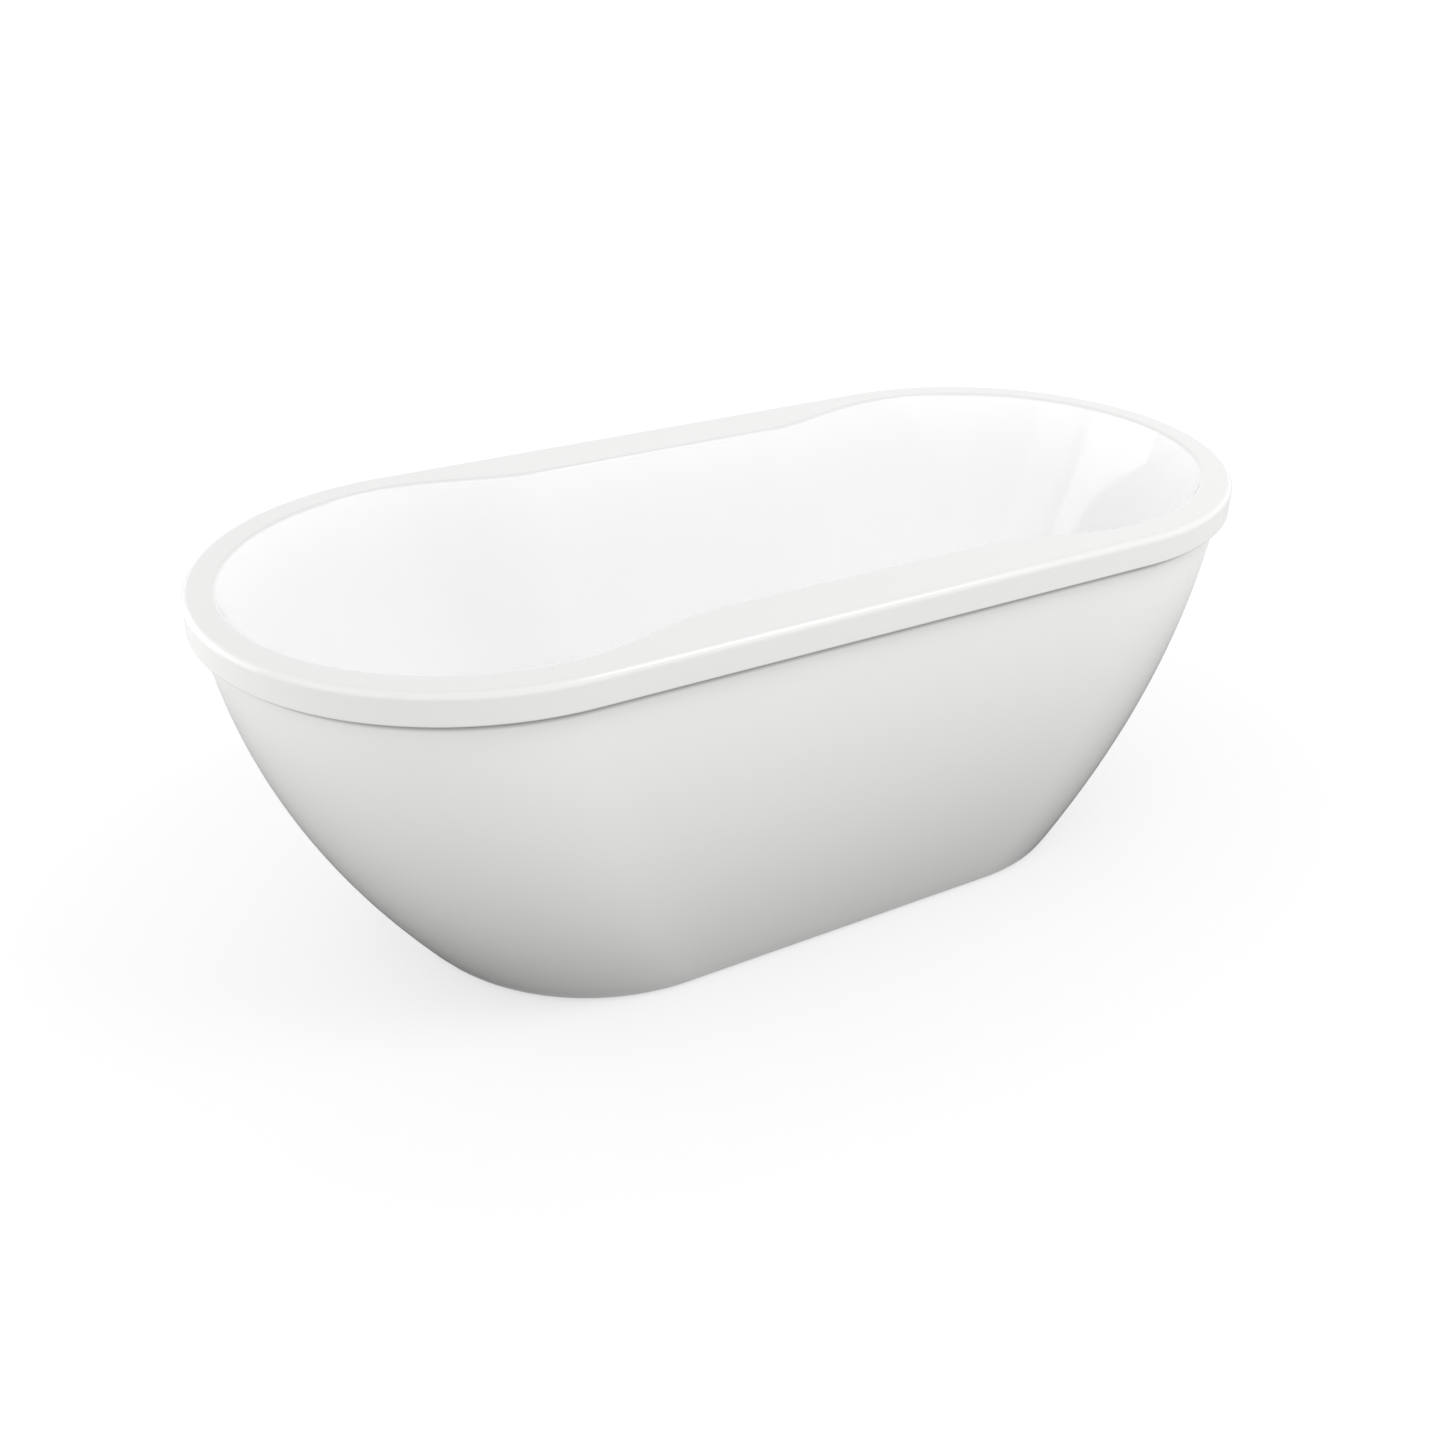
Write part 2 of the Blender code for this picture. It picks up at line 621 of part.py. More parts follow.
# ---------------------------------------------------------------- click waste
def make_waste(materials):
    seat = DRAIN_LAND_Z + GAP
    top = seat + FLANGE_THICKNESS
    flange_profile = [
        (TAIL_BORE, top - TAIL_LENGTH),
        (TAIL_RADIUS, top - TAIL_LENGTH),
        (TAIL_RADIUS, seat),
        (FLANGE_RADIUS, seat),
        (FLANGE_RADIUS - CHAMFER, top),
        (TAIL_BORE + CHAMFER, top),
        (TAIL_BORE, top - CHAMFER),
    ]
    flange = add_object("drain_flange", turned(flange_profile), materials["chrome"], smooth=True)
    hub_z = top - HUB_DROP + HUB_HEIGHT / 2
    spoke_size = (2 * TAIL_BORE + CHAMFER, SPOKE_WIDTH, SPOKE_HEIGHT)
    for number, angle in enumerate((0.0, math.radians(90)), start=1):
        bm = loft_rings(box_points(spoke_size), closed=False)
        spoke = add_object(f"drain_spoke_{number}", bm, None, (0, 0, hub_z), (0, 0, angle))
        add_boolean(flange, spoke, "UNION")
    hub = rod("drain_hub", HUB_RADIUS, HUB_HEIGHT, (0, 0, hub_z))
    add_boolean(flange, hub, "UNION")
    add_boolean(flange, rod("drain_hub_bore", HUB_BORE, 2 * HUB_HEIGHT, (0, 0, hub_z)))

    gasket_top = FLOOR_UNDERSIDE_Z - GAP
    gasket_foot = gasket_top - GASKET_THICKNESS
    gasket = ring_profile(DRAIN_HOLE_RADIUS, GASKET_RADIUS, gasket_foot, gasket_top)
    add_object("drain_gasket", turned(gasket), materials["black_rubber"])

    body_top = gasket_foot - GAP
    body_foot = body_top - WASTE_BODY_HEIGHT
    bore = TAIL_RADIUS + 2 * GAP
    socket_foot = top - TAIL_LENGTH - GAP
    body_profile = [
        (TEE_BORE, body_foot),
        (TEE_RADIUS, body_foot),
        (WASTE_BODY_RADIUS, body_foot + WASTE_BODY_TAPER),
        (WASTE_BODY_RADIUS, body_top - COLLAR_HEIGHT),
        (COLLAR_RADIUS, body_top - COLLAR_HEIGHT),
        (COLLAR_RADIUS, body_top),
        (bore, body_top),
        (bore, socket_foot),
        (TEE_BORE, socket_foot),
    ]
    add_object("drain_body", turned(body_profile), materials["waste_plastic"], smooth=True)

    seal_foot = top + GAP
    seal_top = seal_foot + SEAL_THICKNESS
    seal = ring_profile(SEAL_INNER_RADIUS, TAIL_BORE + SEAL_OVERLAP, seal_foot, seal_top)
    add_object("stopper_seal", turned(seal), materials["black_rubber"])
    cap_foot = seal_top + GAP
    cap_profile = [
        (CAP_RADIUS - CHAMFER, cap_foot),
        (CAP_RADIUS, cap_foot + CHAMFER),
        (CAP_RADIUS, cap_foot + CAP_EDGE_TOP),
    ]
    cap_profile += [(CAP_RADIUS - inset, cap_foot + height) for inset, height in CAP_CROWN]
    add_object("stopper_cap", turned(cap_profile, bored=False), materials["chrome"], smooth=True)
    post_top = cap_foot - GAP
    post = [(POST_RADIUS, post_top - POST_LENGTH), (POST_RADIUS, post_top)]
    add_object("stopper_post", turned(post, SMALL_SEGMENTS, bored=False), materials["chrome"],
               smooth=True)
    return body_foot


def make_tee(materials, body_foot):
    # Straight run down to the outlet, with a side branch for the overflow hose.
    top = body_foot - GAP
    middle = (top + TEE_FOOT_Z) / 2
    length = top - TEE_FOOT_Z
    quarter = (math.radians(90), 0, 0)
    profile = [(TEE_RADIUS, -length / 2), (TEE_RADIUS, length / 2)]
    tee = add_object("waste_tee", turned(profile, bored=False), materials["waste_plastic"],
                     (0, 0, middle), smooth=True)
    branch_place = (0, -BRANCH_LENGTH / 2, BRANCH_Z)
    branch = rod("tee_branch", OUTLET_RADIUS, BRANCH_LENGTH, branch_place, quarter,
                 ROUND_SEGMENTS)
    add_boolean(tee, branch, "UNION")
    add_boolean(tee, rod("tee_bore", TEE_BORE, 2 * length, (0, 0, middle),
                         segments=ROUND_SEGMENTS))
    branch_bore = rod("tee_branch_bore", HOSE_RADIUS + 2 * GAP, BRANCH_LENGTH,
                      (0, -BRANCH_LENGTH / 2 - TEE_RADIUS / 2, BRANCH_Z), quarter,
                      ROUND_SEGMENTS)
    add_boolean(tee, branch_bore)
    nut_inner = TEE_RADIUS + GAP
    nut = ring_profile(nut_inner, nut_inner + OUTLET_NUT_WALL, TEE_FOOT_Z,
                       TEE_FOOT_Z + OUTLET_NUT_HEIGHT)
    add_object("outlet_nut", turned(nut), materials["waste_plastic"])


# ---------------------------------------------------------------- overflow
def overflow_frame():
    # Middle of the flat wall band at x = 0 on the -Y side, and its slope from upright.
    upper, lower = OVERFLOW_DEPTH_SHARE
    waist_throat = WIDTH / 2 - DECK_ARM_WIDTH - BASIN_ROLL
    travel = waist_throat - FLOOR_HALF_WIDTH
    upper_y = waist_throat - travel * wall_inset(upper)
    lower_y = waist_throat - travel * wall_inset(lower)
    drop = WALL_DEPTH * (lower - upper)
    slope = math.atan2(upper_y - lower_y, drop)
    centre = Vector((0, -(upper_y + lower_y) / 2, THROAT_Z - WALL_DEPTH * (upper + lower) / 2))
    return centre, slope


def inward(slope):
    # The overflow's axis, square to the sloped wall and pointing into the basin.
    return Vector((0, math.cos(slope), math.sin(slope)))


def make_overflow(materials, shell):
    # Everything turns on one axis, square to the wall. Local +Z points into the basin.
    centre, slope = overflow_frame()
    tilt = (-math.radians(90) + slope, 0, 0)
    wall = SHELL_THICKNESS * math.cos(slope)

    hole = rod("overflow_hole", OVERFLOW_HOLE_RADIUS, OVERFLOW_HOLE_LENGTH, centre, tilt,
               ROUND_SEGMENTS)
    add_boolean(shell, hole)

    rim = COVER_DEPTH + GAP
    cover_profile = [
        (COVER_RADIUS - COVER_WALL, GAP),
        (COVER_RADIUS, GAP),
        (COVER_RADIUS, rim - COVER_WALL),
        (COVER_RADIUS - COVER_WALL, rim),
        (COVER_SCREW_HOLE, rim),
        (COVER_SCREW_HOLE, rim - COVER_WALL),
        (COVER_RADIUS - COVER_WALL, rim - COVER_WALL),
    ]
    cover = add_object("overflow_cover", turned(cover_profile), materials["chrome"], centre,
                       tilt, smooth=True)
    down = Vector((0, math.sin(slope), -math.cos(slope)))
    slot_size = (*COVER_SLOT, COVER_DEPTH)
    slot_place = centre + down * COVER_RADIUS
    slot = add_object("cover_slot", loft_rings(box_points(slot_size), closed=False), None,
                      slot_place, tilt)
    add_boolean(cover, slot)

    screw_place = centre + inward(slope) * (rim + GAP)
    flip = (tilt[0] + math.radians(180), 0, 0)
    bm = screw_body(OVERFLOW_SCREW, OVERFLOW_SCREW_LENGTH)
    add_object("overflow_screw", bm, materials["chrome"], screw_place, flip, smooth=True)

    back = -wall - GAP
    gasket = ring_profile(OVERFLOW_HOLE_RADIUS, ELBOW_FLANGE, back - GASKET_THICKNESS, back)
    add_object("overflow_gasket", turned(gasket), materials["black_rubber"], centre, tilt)

    seat = back - GASKET_THICKNESS - GAP
    floor = seat - ELBOW_DEPTH
    elbow_profile = [
        (ELBOW_RADIUS, floor),
        (ELBOW_RADIUS, seat - ELBOW_FLANGE_THICKNESS),
        (ELBOW_FLANGE, seat - ELBOW_FLANGE_THICKNESS),
        (ELBOW_FLANGE, seat),
    ]
    elbow = add_object("overflow_elbow", turned(elbow_profile, bored=False),
                       materials["waste_plastic"], centre, tilt, smooth=True)
    outlet_y = centre.y - (wall + GASKET_THICKNESS + ELBOW_DEPTH - OUTLET_RADIUS)
    outlet_z = centre.z - OUTLET_LENGTH / 2
    outlet = rod("elbow_outlet", OUTLET_RADIUS, OUTLET_LENGTH, (0, outlet_y, outlet_z),
                 segments=ROUND_SEGMENTS)
    add_boolean(elbow, outlet, "UNION")
    chamber_length = ELBOW_DEPTH - ELBOW_WALL
    chamber_place = centre + inward(slope) * (seat - chamber_length / 2 + ELBOW_WALL / 2)
    chamber = rod("elbow_chamber", ELBOW_RADIUS - ELBOW_WALL, chamber_length + ELBOW_WALL,
                  chamber_place, tilt, ROUND_SEGMENTS)
    add_boolean(elbow, chamber)
    add_boolean(elbow, rod("elbow_bore", HOSE_RADIUS + 2 * GAP, OUTLET_LENGTH + GAP,
                           (0, outlet_y, outlet_z - GAP), segments=ROUND_SEGMENTS))
    return Vector((0, outlet_y, centre.z - OUTLET_LENGTH + HOSE_SOCKET))


def make_hose(materials, hose_top):
    # Straight down out of the elbow, then one curve between the basin and the skirt that
    # passes in under the rail and ends level in the tee.
    start = hose_top + Vector((0, 0, -HOSE_STRAIGHT_DROP))
    level = Vector((0, HOSE_LEVEL_Y, BRANCH_Z))
    controls = [start, start + Vector((0, 0, -HOSE_CURVE_DROP)),
                level - Vector((0, HOSE_LEVEL_REACH, 0)), level]
    path = [hose_top]
    for i in range(HOSE_STEPS + 1):
        share = i / HOSE_STEPS
        layer = controls
        while len(layer) > 1:
            layer = [a.lerp(b, share) for a, b in zip(layer, layer[1:])]
        path.append(layer[0])
    path.append(Vector((0, HOSE_TEE_SOCKET - BRANCH_LENGTH, BRANCH_Z)))
    bm = swept_tube(path, HOSE_RADIUS, HOSE_BORE, HOSE_SEGMENTS)
    add_object("overflow_hose", bm, materials["waste_plastic"], smooth=True)


def main():
    clear_scene()
    materials = make_materials()
    shell = make_shell(materials)
    skirt = make_skirt(materials)
    board = make_board(materials)
    make_battens(materials)
    rails = make_frame(materials)
    make_board_screws(materials, board, rails)
    make_brackets(materials, skirt)
    make_feet(materials, rails)
    body_foot = make_waste(materials)
    make_tee(materials, body_foot)
    hose_top = make_overflow(materials, shell)
    make_hose(materials, hose_top)


main()
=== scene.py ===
import json
import math

import bmesh
import bpy
import numpy as np
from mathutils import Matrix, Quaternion, Vector


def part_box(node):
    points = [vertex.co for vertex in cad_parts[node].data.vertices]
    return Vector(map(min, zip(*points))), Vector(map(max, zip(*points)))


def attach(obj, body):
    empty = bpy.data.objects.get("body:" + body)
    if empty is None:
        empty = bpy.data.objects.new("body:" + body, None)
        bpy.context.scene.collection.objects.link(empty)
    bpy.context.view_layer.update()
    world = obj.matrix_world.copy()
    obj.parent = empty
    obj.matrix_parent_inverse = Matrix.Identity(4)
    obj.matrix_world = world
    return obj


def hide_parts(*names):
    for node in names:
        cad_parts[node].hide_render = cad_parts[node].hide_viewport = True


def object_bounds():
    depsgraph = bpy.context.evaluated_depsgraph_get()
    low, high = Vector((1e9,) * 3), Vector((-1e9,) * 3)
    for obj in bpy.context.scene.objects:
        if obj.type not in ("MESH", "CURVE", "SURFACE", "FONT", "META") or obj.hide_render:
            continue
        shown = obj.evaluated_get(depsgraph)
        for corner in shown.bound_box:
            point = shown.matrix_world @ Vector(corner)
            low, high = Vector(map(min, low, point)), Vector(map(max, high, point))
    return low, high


print("loading the packed frame")
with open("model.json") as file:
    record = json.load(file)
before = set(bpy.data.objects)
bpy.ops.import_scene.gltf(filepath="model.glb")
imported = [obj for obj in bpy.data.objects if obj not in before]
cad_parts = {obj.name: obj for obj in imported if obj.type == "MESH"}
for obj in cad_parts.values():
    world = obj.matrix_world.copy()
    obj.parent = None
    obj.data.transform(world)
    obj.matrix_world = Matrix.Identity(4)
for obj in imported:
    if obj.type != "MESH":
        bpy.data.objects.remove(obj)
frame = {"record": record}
cadLow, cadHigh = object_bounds()
tubLength = cadHigh.x - cadLow.x
tubWidth = cadHigh.y - cadLow.y
tubHeight = cadHigh.z - cadLow.z
fullTurn = 2 * math.pi
quarterTurn = math.pi / 2
clearance = 0.0003  # between pieces that touch
beyond = 0.020  # how far a cutter stands past what it cuts


# Mesh tools

meshRules = {"mergeDistance": 2e-6, "sliver": 1e-7, "cutSliver": 2e-6}


def putMesh(name, points, faces, sharpAngle=35.0):
    # points is an array of rows (x, y, z) and faces an array of four point numbers each.
    # Doubled points are merged, which also closes seams and poles, and faces turned outwards.
    mesh = bpy.data.meshes.new(name)
    mesh.vertices.add(len(points))
    mesh.vertices.foreach_set("co", np.asarray(points, np.float32).ravel())
    mesh.loops.add(faces.size)
    mesh.loops.foreach_set("vertex_index", faces.astype(np.int32).ravel())
    mesh.polygons.add(len(faces))
    mesh.polygons.foreach_set("loop_start", np.arange(0, faces.size, faces.shape[1], dtype=np.int32))
    mesh.update(calc_edges=True)
    shell = bmesh.new()
    shell.from_mesh(mesh)
    bmesh.ops.remove_doubles(shell, verts=shell.verts, dist=meshRules["mergeDistance"])
    bmesh.ops.dissolve_degenerate(shell, edges=shell.edges, dist=meshRules["sliver"])
    bmesh.ops.recalc_face_normals(shell, faces=shell.faces)
    shell.to_mesh(mesh)
    shell.free()
    mesh.shade_smooth()
    mesh.set_sharp_from_angle(angle=math.radians(sharpAngle))
    piece = bpy.data.objects.new(name, mesh)
    bpy.context.scene.collection.objects.link(piece)
    return piece


def gridFaces(rows, columns, closeRows, closeColumns):
    # Four-sided faces between neighbours of a grid whose points are numbered row by row.
    r = np.arange(rows if closeRows else rows - 1)
    c = np.arange(columns if closeColumns else columns - 1)
    r, c = np.meshgrid(r, c, indexing="ij")
    below, beside = (r + 1) % rows, (c + 1) % columns
    corners = [r * columns + c, r * columns + beside, below * columns + beside, below * columns + c]
    return np.stack(corners, axis=-1).reshape(-1, 4)


def gridPiece(name, grid, closeRows=True, sharpAngle=35.0):
    # A grid of points (rows, columns, 3), or a stack of such grids, made into one mesh.
    copies, rows, columns = (grid if grid.ndim == 4 else grid[None]).shape[:3]
    first = np.arange(copies)[:, None, None] * rows * columns
    faces = (gridFaces(rows, columns, closeRows, True)[None] + first).reshape(-1, 4)
    return putMesh(name, grid.reshape(-1, 3), faces, sharpAngle)


def combine(piece, other, operation="DIFFERENCE", sharpAngle=35.0):
    # A Boolean of two closed bodies, worked out straight away. The second body goes.
    modifier = piece.modifiers.new("cut", "BOOLEAN")
    modifier.operation = operation
    modifier.solver = "EXACT"
    modifier.object = other
    evaluated = piece.evaluated_get(bpy.context.evaluated_depsgraph_get())
    mesh = bpy.data.meshes.new_from_object(evaluated)
    piece.modifiers.clear()
    piece.data = mesh
    bpy.data.objects.remove(other, do_unlink=True)
    body = bmesh.new()
    body.from_mesh(mesh)
    bmesh.ops.dissolve_degenerate(body, edges=body.edges, dist=meshRules["cutSliver"])
    body.to_mesh(mesh)
    body.free()
    mesh.shade_smooth()
    mesh.set_sharp_from_angle(angle=math.radians(sharpAngle))
    return piece


def cutGrid(piece, grid):
    return combine(piece, gridPiece("cutter", grid, closeRows=False))


def joinGrid(piece, grid):
    return combine(piece, gridPiece("joined", grid, closeRows=False), "UNION")


def finishPiece(piece, node, body="tub"):
    # The piece takes over a node's place, its body and its finish.
    slot = nodeSlots[node]
    piece.data.materials.clear()
    piece.data.materials.append(finishes[slot])
    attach(piece, body)
    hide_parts(node)
    return piece


def nodeBox(node):
    low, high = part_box(node)
    return np.array(low), np.array(high)


def nodeCentre(node):
    low, high = nodeBox(node)
    return (low + high) / 2


# Shapes

def smoothStep(share):
    share = np.clip(share, 0.0, 1.0)
    return share * share * (3 - 2 * share)


def rounded(corners, radius, steps=4, closed=True):
    # Each corner becomes an arc of its radius, tangent to both sides: from the arc's centre the
    # points are (sin((1 - s) w) start + sin(s w) end) / sin(w), where w is the angle turned.
    corners = np.asarray(corners, float)
    radius = np.broadcast_to(np.asarray(radius, float), len(corners))[:, None]
    before = np.roll(corners, 1, axis=0) - corners
    after = np.roll(corners, -1, axis=0) - corners
    before /= np.linalg.norm(before, axis=1)[:, None]
    after /= np.linalg.norm(after, axis=1)[:, None]
    half = np.arccos(np.clip((before * after).sum(axis=1), -1, 1))[:, None] / 2
    start = before * radius / np.tan(half)
    end = after * radius / np.tan(half)
    centre = (before + after) * (radius / (np.sin(half) * np.linalg.norm(before + after, axis=1)[:, None]))
    swing = math.pi - 2 * half[:, :, None]
    share = np.linspace(0, 1, steps + 1)[None, :, None]
    arcs = (np.sin((1 - share) * swing) * (start - centre)[:, None]
            + np.sin(share * swing) * (end - centre)[:, None]) / np.sin(swing) + centre[:, None]
    arcs = corners[:, None] + arcs
    if closed:
        return arcs.reshape(-1, 2)
    return np.concatenate([corners[:1], arcs[1:-1].reshape(-1, 2), corners[-1:]])


def turned(radius, height, segments):
    # x = r cos a, y = r sin a, z = h. Each of r and h is a number for each row, or a whole grid.
    angle = np.arange(segments)[None] * (fullTurn / segments)
    radius, height = (a[:, None] if a.ndim == 1 else a for a in (np.asarray(radius), np.asarray(height)))
    return np.stack(np.broadcast_arrays(radius * np.cos(angle), radius * np.sin(angle), height), axis=-1)


def turnedProfile(profile, segments=72):
    radius, height = np.asarray(profile, float).T
    return turned(radius, height, segments)


def rodGrid(radius, low, high, segments=48):
    return turnedProfile([(0, low), (radius, low), (radius, high), (0, high)], segments)


def placed(grid, place=(0, 0, 0), tilt=0.0):
    # Turned by tilt about X, then moved to place.
    c, s = math.cos(tilt), math.sin(tilt)
    return grid @ np.array([(1, 0, 0), (0, c, s), (0, -s, c)]) + np.asarray(place, float)


threadShape = {"slope": 2.6, "crest": 0.15}


def threadDepth(height, segments, pitch):
    # 0 at the crest and 1 at the root of a right-hand thread: a flattened triangle wave of
    # height / pitch - a / 2 pi.
    turn = np.asarray(height)[:, None] / pitch - np.arange(segments)[None] / segments
    wave = np.abs(turn - np.floor(turn) - 0.5)
    return np.clip(threadShape["slope"] * wave - threadShape["crest"], 0, 1)


def lobes(segments, count):
    # 0 on the lobes and 1 between them: (1 - cos(count a)) / 2.
    return (1 - np.cos(np.arange(segments)[None] * (fullTurn * count / segments))) / 2


def carried(path, section, side):
    # A flat section (u, v) carried along a path: point + u side + v (tangent x side).
    path = np.asarray(path, float)
    tangent = np.gradient(path, axis=0)
    tangent /= np.linalg.norm(tangent, axis=1)[:, None]
    up = np.cross(tangent, side)
    return path[:, None] + section[..., :1] * np.asarray(side, float) + section[..., 1:] * up[:, None]


def capped(grid):
    # Both open ends drawn in to their middles, which closes the body.
    ends = [np.broadcast_to(row.mean(axis=0), (1, *row.shape)) for row in (grid[0], grid[-1])]
    return np.concatenate([ends[0], grid, ends[1]])


def barGrid(x, radius, half, edge, steps=4):
    # A rounded rectangle along X: point = corner's centre + r (cos a, sin a), one r for each row.
    corner = np.repeat(np.arange(4) * quarterTurn + quarterTurn / 2, steps + 1)
    angle = (np.arange(4)[:, None] * quarterTurn + np.linspace(0, quarterTurn, steps + 1)).ravel()
    centre = np.stack([np.sign(np.cos(corner)) * (half[0] - edge),
                       np.sign(np.sin(corner)) * (half[1] - edge)], axis=1)
    direction = np.stack([np.cos(angle), np.sin(angle)], axis=1)
    section = centre[None] + np.asarray(radius, float)[:, None, None] * direction[None]
    along = np.broadcast_to(np.asarray(x, float)[:, None, None], (*section.shape[:2], 1))
    return np.concatenate([along, section], axis=-1)


def blockGrid(low, high, edge):
    # A block with every edge rounded: over the last of its length x = edge (1 - cos t) from the
    # end while the corner radius is edge sin t.
    half = (high - low) / 2
    t = np.linspace(0, quarterTurn, 5)
    x = half[0] - edge * (1 - np.cos(t))
    radius = edge * np.sin(t)
    bar = barGrid(np.concatenate([-x, x[::-1]]), np.concatenate([radius, radius[::-1]]), half[1:], edge)
    return capped(bar) + (low + high) / 2


# Outlines

outlineDetail = {"capSteps": 44, "sideSteps": 60, "armStart": 0.47}


def outline(halfLength, shoulder, waist, straight):
    # Round a quarter: x = straight + (halfLength - straight) cos a and y = shoulder sin a over the end,
    # then along the side y eases from shoulder to waist as x falls to 0. Mirrored to all four quarters.
    # Each argument is a number or a column, one number for each row of the grid.
    halfLength, shoulder, waist, straight = (
        np.atleast_1d(np.asarray(a, float))[:, None] for a in (halfLength, shoulder, waist, straight))
    angle = np.linspace(0, quarterTurn, outlineDetail["capSteps"] + 1)[None]
    steps = outlineDetail["sideSteps"]
    share = (1 - np.arange(1, steps + 1) / steps)[None]
    armStart = outlineDetail["armStart"]
    ease = smoothStep((share - armStart) / (1 - armStart))
    x = np.concatenate([straight + (halfLength - straight) * np.cos(angle), straight * share], axis=1)
    y = np.concatenate([shoulder * np.sin(angle), waist + (shoulder - waist) * ease], axis=1)
    xAll = np.concatenate([x, -x[:, -2::-1], -x[:, 1:], x[:, -2:0:-1]], axis=1)
    yAll = np.concatenate([y, y[:, -2::-1], -y[:, 1:], -y[:, -2:0:-1]], axis=1)
    return np.stack(np.broadcast_arrays(xAll, yAll), axis=-1)


def roundedOblong(halfLength, halfWidth):
    halfLength, halfWidth = np.atleast_1d(halfLength), np.atleast_1d(halfWidth)
    return outline(halfLength, halfWidth, halfWidth, halfLength - halfWidth)


def outwardNormals(ring):
    # The tangent of a closed ring of (x, y) points, turned a quarter turn to point outwards.
    tangent = np.roll(ring, -1, axis=0) - np.roll(ring, 1, axis=0)
    tangent /= np.linalg.norm(tangent, axis=1)[:, None]
    return np.stack([tangent[:, 1], -tangent[:, 0]], axis=1)


def atHeights(rings, heights):
    # rings is (rows, columns, 2), and heights one number for each row or for each point.
    heights = np.asarray(heights, float)
    if heights.ndim == 1:
        heights = np.repeat(heights[:, None], rings.shape[1], axis=1)
    return np.concatenate([rings, heights[..., None]], axis=-1)


# The inner shell: floor, walls, rolled edge, flat deck and downturned lip in one moulding

bath = {
    "deckEnd": 0.040, "deckShoulder": 0.049, "deckArm": 0.098, "roll": 0.006, "thickness": 0.006,
    "edgeRadius": 0.010, "lipHeight": 0.046, "lipToe": 0.002,
    "floorLength": 0.500, "floorWidth": 0.200, "floorStraight": 0.300,
    "floorEdge": 0.152, "floorUnderside": 0.139, "drainLand": 0.147, "drainLandRadius": 0.042,
    "drainHole": 0.0262, "wallSlant": 0.5, "coveSquareness": 3.0,
    "wallRows": 46, "floorRows": 14, "rollRows": 9, "edgeRows": 10, "toeRows": 4,
    "deckShares": (0.02, 0.2, 0.5, 0.8, 0.98), "faceShares": (0.02, 0.5, 0.95), "slopeShare": 0.02,
}
throatZ = tubHeight - bath["roll"]
wallDepth = throatZ - bath["floorEdge"]
lipFoot = tubHeight - bath["lipHeight"]


def wallInset(depth):
    # A plain slant, and a cove that is a superellipse quarter and so meets the floor level.
    cove = 1 - np.sqrt(np.clip(1 - depth ** bath["coveSquareness"], 0, None))
    return bath["wallSlant"] * depth + (1 - bath["wallSlant"]) * cove


def basinRings(inset, outward=0.0):
    # The basin's outline at shares of the way from its throat (0) to its floor (1).
    inset = np.atleast_1d(np.asarray(inset, float))
    throat = (tubLength / 2 - bath["deckEnd"] - bath["roll"],
              tubWidth / 2 - bath["deckShoulder"] - bath["roll"],
              tubWidth / 2 - bath["deckArm"] - bath["roll"])
    floor = (bath["floorLength"], bath["floorWidth"], bath["floorWidth"])
    sizes = [a + (b - a) * inset + outward for a, b in zip(throat, floor)]
    straight = (tubLength - tubWidth) / 2
    return outline(*sizes, straight + (bath["floorStraight"] - straight) * inset)


def circleTowards(ring, radius):
    return radius * ring / np.linalg.norm(ring, axis=-1)[..., None]


